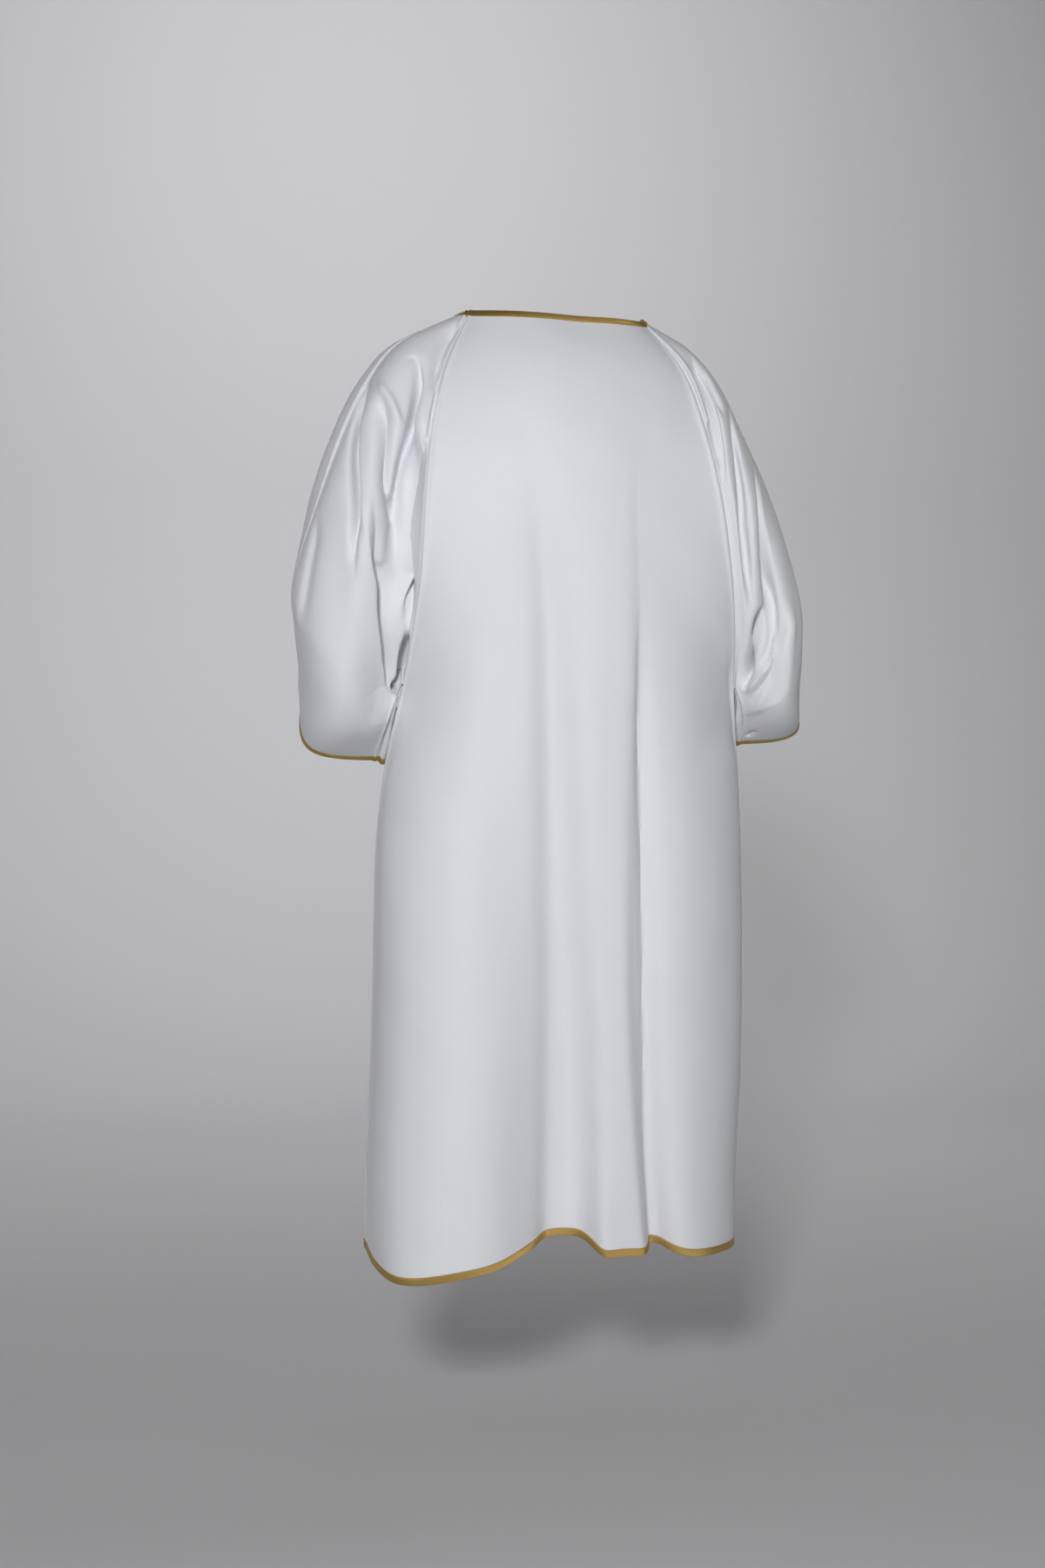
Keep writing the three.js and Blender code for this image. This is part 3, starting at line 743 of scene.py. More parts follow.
@dataclass
class ClothPiece:
    """One cut piece of the white cloth, between two seams."""

    name: str
    first: SeamLine
    last: SeamLine
    crest: Track
    folds: tuple[Fold, ...]
    flat: tuple[float, float]
    area: float
    columns: int
    lower_rows: int
    overarm_last: bool = False
    creases: tuple[Crease, ...] = ()
    close_at: tuple[float, ...] = ()
    seed: int = 1
    seam: PressedSeam = PressedSeam()
    points: np.ndarray = field(init=False)
    normals: np.ndarray = field(init=False)
    chart: Chart = field(init=False)

    def shares(self) -> np.ndarray:
        """Shares of the row for its columns, closer beside the seams and at sharp folds: even
        steps up the running sum of a density with a bell at each such place.

        Returns:
            The shares, from 0 to 1.
        """
        fine = np.linspace(0, 1, 2001)
        density = np.ones_like(fine)
        seam_width, fold_width, extra = 0.02, 0.025, 2.2
        for place, width in [(0, seam_width), (1, seam_width), *((u, fold_width) for u in self.close_at)]:
            density += extra * np.exp(-(((fine - place) / width) ** 2))
        total = np.concatenate([[0], np.cumsum((density[1:] + density[:-1]) / 2)])
        return np.interp(np.linspace(0, total[-1], self.columns + 1), total, fine)

    def stations(self) -> np.ndarray:
        """Stations of its rows, with the same ones above the underarm on every piece."""
        above = np.arange(UPPER_ROWS) / UPPER_ROWS
        return np.concatenate([above, 1 + np.arange(self.lower_rows + 1) / self.lower_rows])

    def plain(self, shares: np.ndarray, stations: np.ndarray) -> np.ndarray:
        """The sheet without its fine creases. Each row goes from the first seam to the last by
        half an ellipse or a hump over the crest, and the large folds are added along the way
        out to the crest. Towards a seam its line is softened less and less, so that the sheet
        ends on the seam itself.

        Args:
            shares: the share of each column.
            stations: the station of each row.

        Returns:
            Points in millimetres, rows by columns by 3.
        """
        crest = self.crest.at(stations)
        start, end = (seam.softened(stations, np.ones(1))[:, 0] for seam in (self.first, self.last))
        out = crest[:, :3] - (start + end) / 2
        height = np.linalg.norm(out, axis=1)[:, None]
        u = shares[None, :]
        roundness = np.where(u < 0.5, crest[:, [3]], crest[:, [4]])
        share = u + ((1 - np.cos(np.pi * u)) / 2 - u) * roundness
        rise = height * np.sin(np.pi * u) ** (2 - roundness)
        across = 1 - shares if self.overarm_last else shares
        folds = sum(fold.heights(across, stations) for fold in self.folds)
        folds = folds * smoothstep(0, EDGE_FADE, u) * smoothstep(0, EDGE_FADE, 1 - u)
        points = start[:, None] + (end - start)[:, None] * share[..., None]
        points = points + (out / height)[:, None] * (rise + folds)[..., None]
        points[..., 2] -= HEM_DRAW * np.maximum(stations - 1, 0)[:, None] * folds
        for seam, soft, away in ((self.first, start, shares), (self.last, end, 1 - shares)):
            points = points + seam.softened(stations, smoothstep(0, GRIP, away)) - soft[:, None]
        return points

    def shape(self) -> None:
        """Works out the sheet's points, normals and distances, with its fine creases."""
        shares, stations = self.shares(), self.stations()
        points = self.plain(shares, stations)
        self.chart = Chart.of(shares, stations, points)
        away = self.seam_distance()
        fine = ripple(self.chart, RIPPLE_HEIGHT, self.seed) * smoothstep(0, RIPPLE_CLEAR, away)
        creases = sum(crease.heights(self.chart) for crease in self.creases)
        fine += creases * smoothstep(0, CREASE_CLEAR, away)
        self.points = points + sheet_normals(points) * fine[..., None]
        self.normals = sheet_normals(self.points)

    def seam_distance(self) -> np.ndarray:
        """Distance from each point to the nearer of its two seams along its row."""
        run = self.chart.across
        return np.minimum(run - run[:, [0]], run[:, [-1]] - run)

    def press_seams(self) -> None:
        """Moves the cloth in and out beside its seams, once all pieces share their normals."""
        height = self.seam.heights(self.seam_distance(), self.chart.down)
        self.points = self.points + self.normals * height[..., None]

    def build(self, material: bpy.types.Material) -> bpy.types.Object:
        """Makes the piece as a closed wall: the sheet moved out and in by half the cloth.

        Args:
            material: the cloth's finish.

        Returns:
            The finished object.
        """
        rows, columns = self.points.shape[:2]
        half = self.normals * CLOTH_THICKNESS / 2
        points = np.concatenate([(self.points + half).reshape(-1, 3), (self.points - half).reshape(-1, 3)])
        place = np.stack([self.chart.across, -self.chart.down, np.zeros_like(self.chart.down)], axis=2)
        places = np.concatenate([place.reshape(-1, 3)] * 2)
        faces = wall_faces(rows, columns)
        piece = dress_mesh(f"{self.name}_cloth", points * MM, faces, places * MM, material)
        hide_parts(self.name)
        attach(piece, "root")
        return piece


def share_seam_normals(pieces: list[ClothPiece]) -> None:
    """Gives the points where pieces meet the mean of their normals, so that their edges meet.

    Args:
        pieces: all the cloth pieces, already shaped.
    """
    spots = np.concatenate([piece.points[:, [0, -1]].reshape(-1, 3) for piece in pieces])
    normals = np.concatenate([piece.normals[:, [0, -1]].reshape(-1, 3) for piece in pieces])
    _, which = np.unique(np.round(spots, 2), axis=0, return_inverse=True)
    which = which.ravel()
    total = np.zeros((which.max() + 1, 3))
    np.add.at(total, which, normals)
    shared = unit(total)[which]
    start = 0
    for piece in pieces:
        rows = len(piece.points)
        piece.normals[:, [0, -1]] = shared[start : start + 2 * rows].reshape(rows, 2, 3)
        start += 2 * rows


# ---------------------------------------------------------------- braid


@dataclass
class BraidBinding:
    """Gold braid folded over a closed run of free edges."""

    name: str
    runs: tuple[tuple[ClothPiece, Edge], ...]
    depth: float = 8.5
    tape: float = 0.9
    clear: float = 0.12
    upper_turn: Place = (0.35, 0.5)
    roundness: float = 0.8
    slack: float = 0.6

    def profile(self) -> np.ndarray:
        """The binding's outline as (out from the cloth's middle, past its edge): two legs with
        a half circle under them, and the same line back inside it.

        Returns:
            The outline's corners in order.
        """
        inner = CLOTH_THICKNESS / 2 + self.clear
        outer = inner + self.tape
        lift = self.clear + self.tape / 2
        angles = np.linspace(0, np.pi, 9)
        top = -self.depth
        turn_in, turn_down = self.upper_turn
        leg = np.array([[outer - turn_in, top], [outer, top + turn_down], [outer, top / 2]])
        bottom = np.column_stack([outer * np.cos(angles), lift + outer * self.roundness * np.sin(angles)])
        other = leg[::-1] * [-1, 1]
        back = np.array([[-inner, top], [-inner, 0], [0, lift * self.slack], [inner, 0], [inner, top]])
        return np.concatenate([leg, bottom, other, back])

    def rings(self) -> tuple[np.ndarray, np.ndarray, np.ndarray]:
        """Points, outward normals and downward directions along the run of edges. Where two
        edges meet at a seam, only the first one's end point is used.

        Returns:
            Three arrays, a row for each place.
        """
        spots, normals, downs = [], [], []
        for piece, edge in self.runs:
            inset = edge.value + (EDGE_ROWS if edge is Edge.NECK else -EDGE_ROWS)
            spots.append(piece.points[edge.value][1:])
            normals.append(piece.normals[edge.value][1:])
            downs.append((piece.points[edge.value] - piece.points[inset])[1:])
        down = unit(np.concatenate(downs))
        normal = np.concatenate(normals)
        normal = unit(normal - down * np.sum(normal * down, axis=1, keepdims=True))
        return np.concatenate(spots), normal, down

    def build(self, material: bpy.types.Material) -> bpy.types.Object:
        """Carries the outline along the edge.

        Args:
            material: the braid's finish.

        Returns:
            The finished object.
        """
        spots, normal, down = self.rings()
        outline = self.profile()
        out, past = outline[None, :, [0]], outline[None, :, [1]]
        points = spots[:, None] + normal[:, None] * out + down[:, None] * past
        count, corners = points.shape[:2]
        steps = np.linalg.norm(np.roll(spots, -1, axis=0) - spots, axis=1)
        along = np.concatenate([[0], np.cumsum(steps)[:-1]])
        around = np.concatenate([[0], np.cumsum(np.linalg.norm(np.diff(outline, axis=0), axis=1))])
        place = np.stack(np.broadcast_arrays(along[:, None], around[None, :], outline[None, :, 1]), axis=2)
        ring, corner = np.meshgrid(np.arange(count), np.arange(corners), indexing="ij")
        here, there = ring * corners, (ring + 1) % count * corners
        turn = (corner + 1) % corners
        faces = np.stack([here + corner, here + turn, there + turn, there + corner], axis=2).reshape(-1, 4)
        vertices = points.reshape(-1, 3)
        quad = vertices[faces]
        facing = np.cross(quad[:, 2] - quad[:, 0], quad[:, 3] - quad[:, 1])
        centre = points.mean(axis=1)[faces[:, 0] // corners]
        if np.sum(facing * (quad.mean(axis=1) - centre)) < 0:
            faces = faces[:, ::-1]
        places = place.reshape(-1, 3)
        piece = dress_mesh(f"{self.name}_binding", vertices * MM, faces, places * MM, material)
        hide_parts(self.name)
        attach(piece, "root")
        LOG.info("%s: %.2f m long", self.name, steps.sum() * MM)
        return piece


# ---------------------------------------------------------------- finishes


class Graph:
    """Short forms for making and joining the nodes of one tree."""

    def __init__(self, tree: bpy.types.NodeTree) -> None:
        """Works on the given tree."""
        self.tree = tree

    def node(self, kind: str, **settings: object) -> bpy.types.Node:
        """Adds a node.

        Args:
            kind: the node's type name.
            settings: its properties by name.

        Returns:
            The node.
        """
        made = self.tree.nodes.new(kind)
        for name, value in settings.items():
            setattr(made, name, value)
        return made

    def put(self, socket: bpy.types.NodeSocket, value: object) -> None:
        """Joins another socket to this one, or sets its value.

        Args:
            socket: the input.
            value: the output to join, or a constant.
        """
        if isinstance(value, bpy.types.NodeSocket):
            self.tree.links.new(value, socket)
        else:
            socket.default_value = value

    def math(self, operation: str, *values: object) -> bpy.types.NodeSocket:
        """A Math node of one operation.

        Args:
            operation: the operation's name.
            values: its inputs, sockets or numbers.

        Returns:
            Its output.
        """
        made = self.node("ShaderNodeMath", operation=operation)
        for socket, value in zip(made.inputs, values):
            self.put(socket, value)
        return made.outputs[0]

    def between(self, low: object, high: object, share: object) -> bpy.types.NodeSocket:
        """A number mixed from two by a share.

        Args:
            low: the number at a share of 0.
            high: the number at a share of 1.
            share: the share.

        Returns:
            The mixed number.
        """
        made = self.node("ShaderNodeMix", data_type="FLOAT")
        for name, value in zip(("Factor", "A", "B"), (share, low, high)):
            self.put(next(s for s in made.inputs if s.name == name and s.type == "VALUE"), value)
        return made.outputs[0]

    def tint(self, low: object, high: object, share: object) -> bpy.types.NodeSocket:
        """A colour mixed from two by a share.

        Args:
            low: the colour at a share of 0.
            high: the colour at a share of 1.
            share: the share.

        Returns:
            The mixed colour.
        """
        made = self.node("ShaderNodeMix", data_type="RGBA")
        self.put(made.inputs[0], share)
        for socket, value in zip([s for s in made.inputs if s.type == "RGBA"], (low, high)):
            self.put(socket, (*value, 1.0) if isinstance(value, tuple) else value)
        return next(s for s in made.outputs if s.type == "RGBA")

    def noise(self, place: object, scale: float, detail: float = 2.0) -> bpy.types.NodeSocket:
        """A noise texture's height at a place.

        Args:
            place: where it is looked up.
            scale: how many of its bumps lie along a metre.
            detail: how many finer layers it has.

        Returns:
            The height, from 0 to 1.
        """
        made = self.node("ShaderNodeTexNoise")
        self.put(made.inputs["Vector"], place)
        made.inputs["Scale"].default_value = scale
        made.inputs["Detail"].default_value = detail
        return made.outputs["Fac"]

    def stretched(self, place: object, scale: Point) -> bpy.types.NodeSocket:
        """A place scaled on each axis.

        Args:
            place: the place.
            scale: its three factors.

        Returns:
            The scaled place.
        """
        made = self.node("ShaderNodeMapping")
        self.put(made.inputs["Vector"], place)
        made.inputs["Scale"].default_value = scale
        return made.outputs["Vector"]

    def bump(self, height: object, depth: float, strength: float = 1.0) -> bpy.types.NodeSocket:
        """A normal tilted by a height.

        Args:
            height: the height's socket.
            depth: the relief of a height of 1, in metres.
            strength: the share of the tilt that is used.

        Returns:
            The normal.
        """
        made = self.node("ShaderNodeBump")
        made.inputs["Distance"].default_value = depth
        made.inputs["Strength"].default_value = strength
        self.put(made.inputs["Height"], height)
        return made.outputs[0]


def thread_group() -> bpy.types.NodeTree:
    """The node group of woven threads: two sets of fine ridges that cross, the stronger along
    the piece, broken by long thick and thin stretches of yarn.

    Returns:
        A group with inputs Place, Pitch and Unevenness, and outputs Height and Slub.
    """
    tree = bpy.data.node_groups.new("threads", "ShaderNodeTree")
    tree.interface.new_socket("Place", in_out="INPUT", socket_type="NodeSocketVector")
    for name, value in (("Pitch", 0.0005), ("Unevenness", 0.3)):
        made = tree.interface.new_socket(name, in_out="INPUT", socket_type="NodeSocketFloat")
        made.default_value = value
    for name in ("Height", "Slub"):
        tree.interface.new_socket(name, in_out="OUTPUT", socket_type="NodeSocketFloat")
    graph = Graph(tree)
    given = graph.node("NodeGroupInput")
    result = graph.node("NodeGroupOutput")
    split = graph.node("ShaderNodeSeparateXYZ")
    graph.put(split.inputs[0], given.outputs["Place"])
    turns = graph.math("DIVIDE", 2 * math.pi, given.outputs["Pitch"])
    warp = graph.math("SINE", graph.math("MULTIPLY", split.outputs["X"], turns))
    weft = graph.math("SINE", graph.math("MULTIPLY", split.outputs["Y"], turns))
    warp_share, weft_share = 0.3, 0.2
    weave = graph.math(
        "ADD", graph.math("MULTIPLY", warp, warp_share), graph.math("MULTIPLY", weft, weft_share)
    )
    long_stretch, cross_stretch = (900.0, 30.0, 1.0), (24.0, 700.0, 1.0)
    long_yarn = graph.noise(graph.stretched(given.outputs["Place"], long_stretch), 1.0)
    cross_yarn = graph.noise(graph.stretched(given.outputs["Place"], cross_stretch), 1.0)
    slub = graph.between(long_yarn, cross_yarn, 0.5)
    height = graph.math("ADD", weave, graph.math("MULTIPLY", slub, given.outputs["Unevenness"]))
    graph.put(result.inputs["Height"], height)
    graph.put(result.inputs["Slub"], slub)
    return tree


def open_material(
    name: str, roughness: float, metallic: float
) -> tuple[bpy.types.Material, Graph, bpy.types.Node]:
    """A new material with one principled shader.

    Args:
        name: the material's name.
        roughness: its roughness.
        metallic: how metallic it is.

    Returns:
        The material, its graph and its shader node.
    """
    material = bpy.data.materials.new(name)
    material.use_nodes = True
    graph = Graph(material.node_tree)
    shader = next(n for n in material.node_tree.nodes if n.type == "BSDF_PRINCIPLED")
    shader.inputs["Roughness"].default_value = roughness
    shader.inputs["Metallic"].default_value = metallic
    return material, graph, shader


def threads_at(
    graph: Graph, threads: bpy.types.NodeTree, pitch: float, uneven: float
) -> tuple[bpy.types.NodeSocket, bpy.types.Node]:
    """Places the thread group on the flat cloth's own coordinates.

    Args:
        graph: the material's graph.
        threads: the thread group.
        pitch: the distance between two threads in metres.
        uneven: how uneven the yarn is.

    Returns:
        The coordinates' output and the placed group.
    """
    place = graph.node("ShaderNodeAttribute", attribute_name=THREAD_PLACE).outputs["Vector"]
    made = graph.node("ShaderNodeGroup", node_tree=threads)
    graph.put(made.inputs["Place"], place)
    made.inputs["Pitch"].default_value = pitch
    made.inputs["Unevenness"].default_value = uneven
    return place, made


@dataclass(frozen=True)
class WhiteCloth:
    """Smooth white polyester cloth with a soft lustre."""

    shade: Colour = (0.70, 0.705, 0.735)
    light: Colour = (0.79, 0.795, 0.825)
    roughness: float = 0.52
    glossier: float = 0.06
    duller: float = 0.08
    pitch: float = 0.00045
    unevenness: float = 0.9
    relief: float = 0.00006
    relief_share: float = 0.6
    yarn_share: float = 0.7
    cloud_scale: float = 9.0
    cloud_detail: float = 3.0
    sheen: float = 0.12
    sheen_roughness: float = 0.4
    specular: float = 0.45

    def material(self, threads: bpy.types.NodeTree) -> bpy.types.Material:
        """The cloth's material: yarn streaks vary its colour and gloss, and threads its relief.

        Args:
            threads: the thread group.

        Returns:
            The material.
        """
        material, graph, shader = open_material("white polyester cloth", self.roughness, 0.0)
        place, made = threads_at(graph, threads, self.pitch, self.unevenness)
        yarn = graph.math("MULTIPLY", made.outputs["Slub"], self.yarn_share)
        cloud = graph.noise(place, self.cloud_scale, self.cloud_detail)
        share = graph.math("ADD", yarn, graph.math("MULTIPLY", cloud, 1 - self.yarn_share))
        gloss = graph.between(self.roughness - self.glossier, self.roughness + self.duller, share)
        graph.put(shader.inputs["Base Color"], graph.tint(self.shade, self.light, share))
        graph.put(shader.inputs["Roughness"], gloss)
        shader.inputs["Sheen Weight"].default_value = self.sheen
        shader.inputs["Sheen Roughness"].default_value = self.sheen_roughness
        shader.inputs["Specular IOR Level"].default_value = self.specular
        normal = graph.bump(made.outputs["Height"], self.relief, self.relief_share)
        graph.put(shader.inputs["Normal"], normal)
        return material


@dataclass(frozen=True)
class GoldBraid:
    """Narrow braid of gold metal thread, plaited on the slant."""

    # The first colour is painted shade for the gaps between the cords; the second is the gold of the cord
    # tops.
    painted_gap_shade: Colour = (0.30, 0.17, 0.035)
    bright: Colour = (0.86, 0.60, 0.19)
    metallic: float = 0.85
    roughness: float = 0.36
    dull: float = 0.5
    glossy: float = 0.3
    plait: float = 0.0022
    slant: float = 0.8
    cord_width: float = 0.6
    pitch: float = 0.0006
    unevenness: float = 0.4
    yarn_share: float = 0.8
    yarn_base: float = 0.5
    thread_share: float = 0.3
    relief: float = 0.0005

    def material(self, threads: bpy.types.NodeTree) -> bpy.types.Material:
        """The braid's material: slanting cords of thread. Its colour is painted darker in the gaps between
        them as painted shade and brighter on the cord tops as a painted highlight, and varied by the yarn's
        random unevenness.

        Args:
            threads: the thread group.

        Returns:
            The material.
        """
        material, graph, shader = open_material("gold metal braid", self.roughness, self.metallic)
        place, made = threads_at(graph, threads, self.pitch, self.unevenness)
        split = graph.node("ShaderNodeSeparateXYZ")
        graph.put(split.inputs[0], place)
        lean = graph.math("MULTIPLY", split.outputs["Y"], self.slant)
        slant = graph.math("ADD", split.outputs["X"], lean)
        wave = graph.math("SINE", graph.math("MULTIPLY", slant, 2 * math.pi / self.plait))
        cord = graph.math("POWER", graph.math("MULTIPLY_ADD", wave, 0.5, 0.5), self.cord_width)
        yarn = graph.math("MULTIPLY_ADD", made.outputs["Slub"], self.yarn_share, self.yarn_base)
        # Painted shade and highlight: the colour goes from the painted gap shade between the cords to the
        # bright gold on their tops, times the yarn's random unevenness. The gloss follows the same share.
        painted_cord_light_and_yarn = graph.math("MULTIPLY", cord, yarn)
        graph.put(shader.inputs["Base Color"], graph.tint(self.painted_gap_shade, self.bright, painted_cord_light_and_yarn))
        graph.put(shader.inputs["Roughness"], graph.between(self.dull, self.glossy, painted_cord_light_and_yarn))
        thread = graph.math("MULTIPLY", made.outputs["Height"], self.thread_share)
        height = graph.math("ADD", cord, thread)
        graph.put(shader.inputs["Normal"], graph.bump(height, self.relief))
        return material


# ---------------------------------------------------------------- the garment


@dataclass
class Dalmatic:
    """The whole garment: six cloth pieces and the braid on their free edges."""

    cloth: WhiteCloth = WhiteCloth()
    gold: GoldBraid = GoldBraid()
    body_rows: int = 116
    sleeve_rows: int = 80

    def pieces(self) -> dict[str, ClothPiece]:
        """The six cloth pieces, each named for the node it dresses.

        Returns:
            The pieces by name.
        """
        left_back = SeamLine(LEFT_BACK_RAGLAN, LEFT_SIDE)
        left_front = SeamLine(LEFT_FRONT_RAGLAN, LEFT_SIDE)
        right_back = SeamLine(RIGHT_BACK_RAGLAN, RIGHT_SIDE)
        right_front = SeamLine(RIGHT_FRONT_RAGLAN, RIGHT_SIDE)
        left_over = SeamLine(LEFT_OVERARM, LEFT_OVERARM)
        right_over = SeamLine(RIGHT_OVERARM, RIGHT_OVERARM)
        made = [
            ClothPiece(
                "back_panel", left_back, right_back, BACK_CREST, BACK_FOLDS,
                flat=(0.75, 1.29), area=0.685, columns=184, lower_rows=self.body_rows,
                close_at=(0.52, 0.655), creases=BACK_CREASES, seed=3,
            ),
            ClothPiece(
                "front_panel", right_front, left_front, FRONT_CREST, FRONT_FOLDS,
                flat=(0.71, 1.27), area=0.655, columns=150, lower_rows=self.body_rows, seed=5,
            ),
            ClothPiece(
                "left_sleeve_back", left_over, SeamLine(LEFT_BACK_RAGLAN, LEFT_UNDERARM),
                LEFT_SLEEVE_BACK_CREST, LEFT_SLEEVE_BACK_FOLDS,
                flat=(0.36, 0.72), area=0.160, columns=196, lower_rows=self.sleeve_rows,
                creases=LEFT_SLEEVE_CREASES, seed=7,
            ),
            ClothPiece(
                "left_sleeve_front", SeamLine(LEFT_FRONT_RAGLAN, LEFT_UNDERARM), left_over,
                LEFT_SLEEVE_FRONT_CREST, SLEEVE_FRONT_FOLDS, overarm_last=True,
                flat=(0.29, 0.68), area=0.122, columns=90, lower_rows=self.sleeve_rows, seed=9,
            ),
            ClothPiece(
                "right_sleeve_back", SeamLine(RIGHT_BACK_RAGLAN, RIGHT_UNDERARM), right_over,
                RIGHT_SLEEVE_BACK_CREST, RIGHT_SLEEVE_BACK_FOLDS, overarm_last=True,
                flat=(0.32, 0.74), area=0.118, columns=180, lower_rows=self.sleeve_rows,
                creases=RIGHT_SLEEVE_CREASES, seed=11,
            ),
            ClothPiece(
                "right_sleeve_front", right_over, SeamLine(RIGHT_FRONT_RAGLAN, RIGHT_UNDERARM),
                RIGHT_SLEEVE_FRONT_CREST, SLEEVE_FRONT_FOLDS,
                flat=(0.25, 0.64), area=0.089, columns=90, lower_rows=self.sleeve_rows, seed=13,
            ),
        ]
        return {piece.name: piece for piece in made}

    def braids(self, cloth: dict[str, ClothPiece]) -> list[BraidBinding]:
        """The four runs of braid, in the order their edges follow each other.

        Args:
            cloth: the cloth pieces by name.

        Returns:
            The braids.
        """
        neck = ("back_panel", "right_sleeve_back", "right_sleeve_front",
                "front_panel", "left_sleeve_front", "left_sleeve_back")
        runs = {
            "neck_braid": (neck, Edge.NECK),
            "hem_braid": (("back_panel", "front_panel"), Edge.HEM),
            "left_cuff_braid": (("left_sleeve_back", "left_sleeve_front"), Edge.HEM),
            "right_cuff_braid": (("right_sleeve_back", "right_sleeve_front"), Edge.HEM),
        }
        return [
            BraidBinding(name, tuple((cloth[piece], edge) for piece in order))
            for name, (order, edge) in runs.items()
        ]

    def build(self) -> None:
        """Builds every piece and dresses it."""
        threads = thread_group()
        white, gold = self.cloth.material(threads), self.gold.material(threads)
        cloth = self.pieces()
        for piece in cloth.values():
            piece.shape()
        share_seam_normals(list(cloth.values()))
        for piece in cloth.values():
            piece.press_seams()
        made = {name: piece.build(white) for name, piece in cloth.items()}
        trims = {braid.name: braid.build(gold) for braid in self.braids(cloth)}
        for name, piece in cloth.items():
            LOG.info("%s: %d rows, %d columns", name, *piece.points.shape[:2])


# ---------------------------------------------------------------- studio


GARMENT_MIDDLE = (0.0, 0.0, -0.6)


def away(azimuth: float) -> np.ndarray:
    """The level direction from the garment at an azimuth in degrees, 0 being its front."""
    turn = math.radians(azimuth)
    return np.array([math.sin(turn), -math.cos(turn), 0.0])


def look(direction: np.ndarray) -> Point:
    """The turn that points a camera or light along a direction, with its top upwards.

    Args:
        direction: where it looks.

    Returns:
        Its turn about the three axes.
    """
    flat = math.hypot(direction[0], direction[1])
    pitch = math.pi / 2 + math.atan2(direction[2], flat)
    return pitch, 0.0, math.atan2(-direction[0], direction[1])


@dataclass(frozen=True)
class SoftBox:
    """A square soft light: its azimuth and spread in degrees, its height over the garment's
    middle, its level distance and its size in metres, and its power in watts."""

    name: str
    azimuth: float
    height: float
    distance: float
    size: float
    power: float
    target: Point = GARMENT_MIDDLE
    spread: float = 180.0

    def add(self) -> None:
        """Adds the light to the scene, facing its target."""
        lamp = bpy.data.lights.new(self.name, "AREA")
        lamp.shape = "SQUARE"
        lamp.size = self.size
        lamp.energy = self.power
        lamp.spread = math.radians(self.spread)
        light = bpy.data.objects.new(self.name, lamp)
        place = away(self.azimuth) * self.distance + np.array([0, 0, self.height + GARMENT_MIDDLE[2]])
        light.location = place
        light.rotation_euler = look(np.array(self.target) - place)
        bpy.context.scene.collection.objects.link(light)


LIGHTS = (
    SoftBox("key", 166.0, 1.3, 4.6, 0.5, 142.0),
    SoftBox("fill", 200.0, 0.4, 4.4, 1.6, 12.0),
    SoftBox("left rim", 62.0, 0.9, 3.2, 1.0, 5.0),
    SoftBox("right rim", 292.0, 0.9, 3.2, 1.0, 9.0),
    SoftBox("sweep", 0.0, 3.9, 0.6, 2.4, 46.0, (0.0, -4.4, 0.2), 100.0),
)


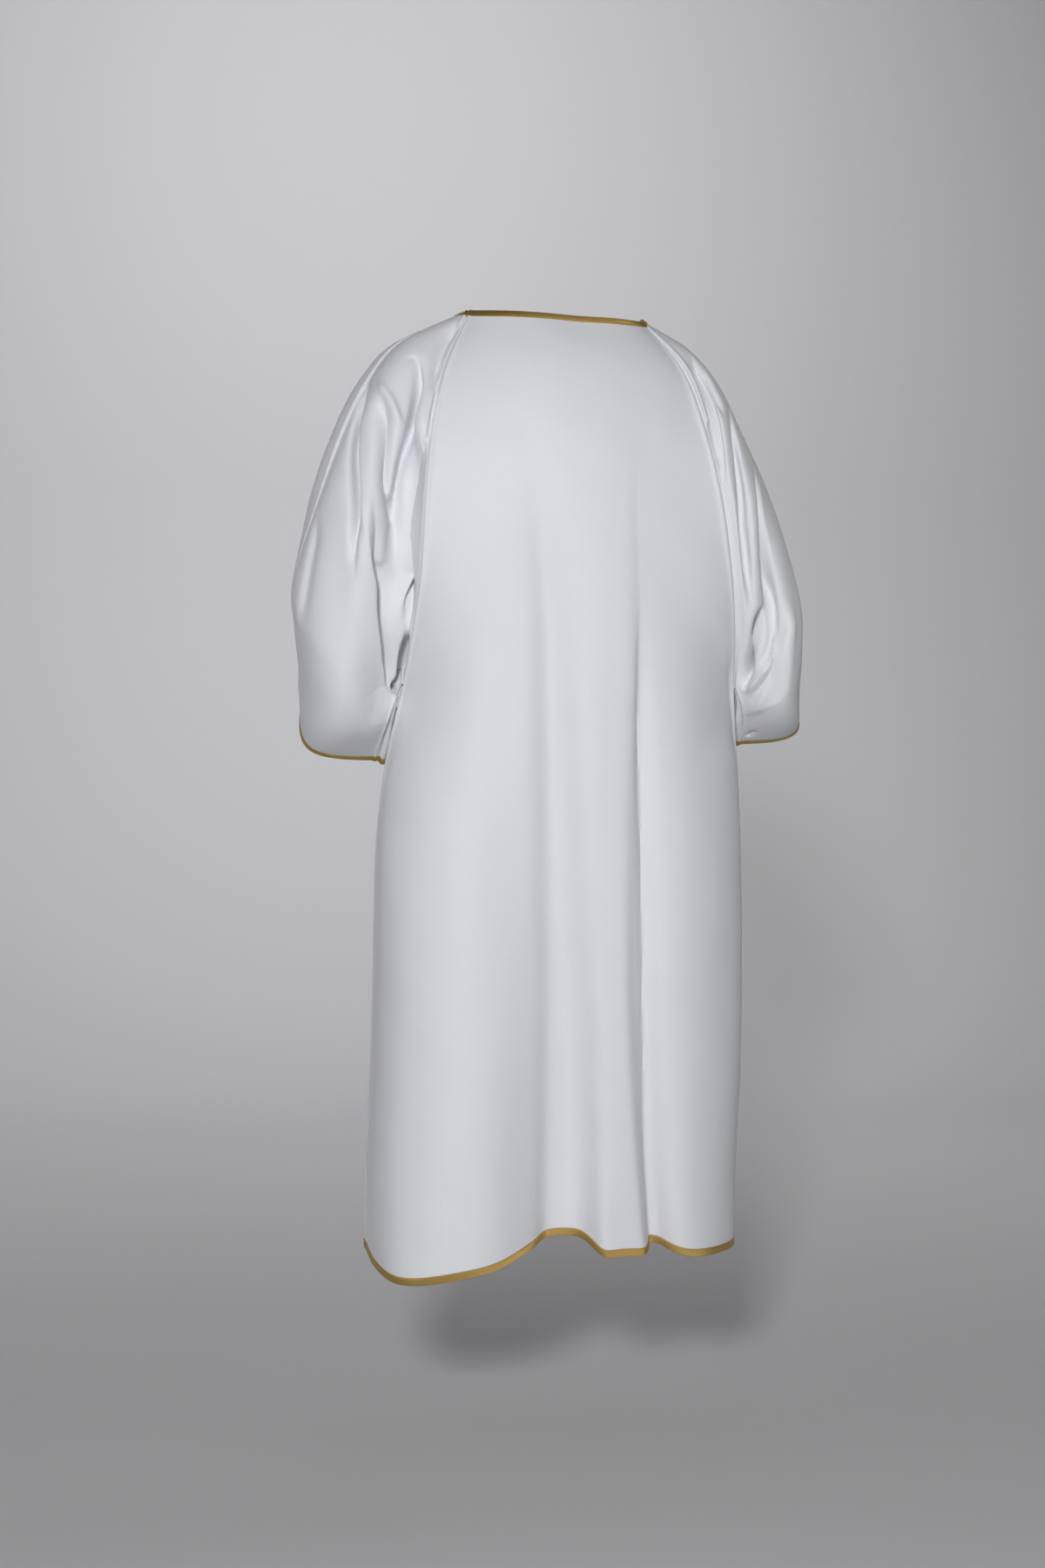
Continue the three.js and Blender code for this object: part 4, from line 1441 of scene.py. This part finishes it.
@dataclass(frozen=True)
class Studio:
    """A pale floor, soft lights and the camera, behind the wearer's back. Sizes are in metres
    and turns in degrees."""

    floor: float = -1.54
    floor_colour: Colour = (0.66, 0.66, 0.67)
    floor_roughness: float = 0.9
    floor_half_width: float = 9.0
    floor_front: float = 9.0
    wall_height: float = 7.0
    bend_start: float = -2.6
    bend_radius: float = 1.8
    air_colour: Colour = (0.44, 0.45, 0.47)
    air_strength: float = 0.12
    camera_turn: float = 172.0
    camera_distance: float = 2.9
    camera_height: float = 1.0
    camera_shift: float = -0.040
    camera_tilt: float = 1.5
    lens: float = 50.0
    sensor: float = 36.0

    def add_floor(self) -> None:
        """Adds a pale floor that sweeps up into a wall far behind the garment: flat, then a
        quarter circle, then straight up, the same across its whole width."""
        material = bpy.data.materials.new("pale floor")
        material.use_nodes = True
        shader = next(n for n in material.node_tree.nodes if n.type == "BSDF_PRINCIPLED")
        shader.inputs["Base Color"].default_value = (*self.floor_colour, 1.0)
        shader.inputs["Roughness"].default_value = self.floor_roughness
        turn = np.linspace(0, np.pi / 2, 25)
        radius, half = self.bend_radius, self.floor_half_width
        bend = np.column_stack([self.bend_start - radius * np.sin(turn), radius - radius * np.cos(turn)])
        wall_at = self.bend_start - radius
        line = np.concatenate([[[self.floor_front, 0.0]], bend, [[wall_at, self.wall_height]]])
        points = [(x, y, self.floor + z) for y, z in line for x in (-half, half)]
        faces = [(2 * i, 2 * i + 1, 2 * i + 3, 2 * i + 2) for i in range(len(line) - 1)]
        mesh = bpy.data.meshes.new("floor")
        mesh.from_pydata(points, [], faces)
        mesh.polygons.foreach_set("use_smooth", np.ones(len(faces), dtype=bool))
        mesh.materials.append(material)
        floor = bpy.data.objects.new("floor", mesh)
        bpy.context.scene.collection.objects.link(floor)

    def add_camera(self) -> None:
        """Adds the camera, a little left of the garment's back and tilted slightly down."""
        turn = math.radians(self.camera_turn)
        right = np.array([math.cos(turn), math.sin(turn), 0.0])
        back = away(self.camera_turn)
        level = back * self.camera_distance + right * self.camera_shift
        data = bpy.data.cameras.new("camera")
        data.lens = self.lens
        data.sensor_fit = "VERTICAL"
        data.sensor_height = self.sensor
        camera = bpy.data.objects.new("camera", data)
        camera.location = level + np.array([0, 0, self.floor + self.camera_height])
        tilt = math.radians(self.camera_tilt)
        camera.rotation_euler = look(-back * math.cos(tilt) - np.array([0, 0, math.sin(tilt)]))
        bpy.context.scene.collection.objects.link(camera)
        bpy.context.scene.camera = camera

    def build(self) -> None:
        """Sets up the floor, the lights, the pale surroundings and the camera."""
        scene = bpy.context.scene
        scene.view_settings.view_transform = "Standard"
        world = bpy.data.worlds.new("soft surroundings")
        world.use_nodes = True
        backdrop = world.node_tree.nodes["Background"]
        backdrop.inputs["Color"].default_value = (*self.air_colour, 1.0)
        backdrop.inputs["Strength"].default_value = self.air_strength
        scene.world = world
        self.add_floor()
        for light in LIGHTS:
            light.add()
        self.add_camera()


def main() -> None:
    """Builds the garment and the studio."""
    logging.basicConfig(level=logging.INFO, format="%(name)s: %(message)s")
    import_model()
    Dalmatic().build()
    Studio().build()


if __name__ == "__main__":
    main()
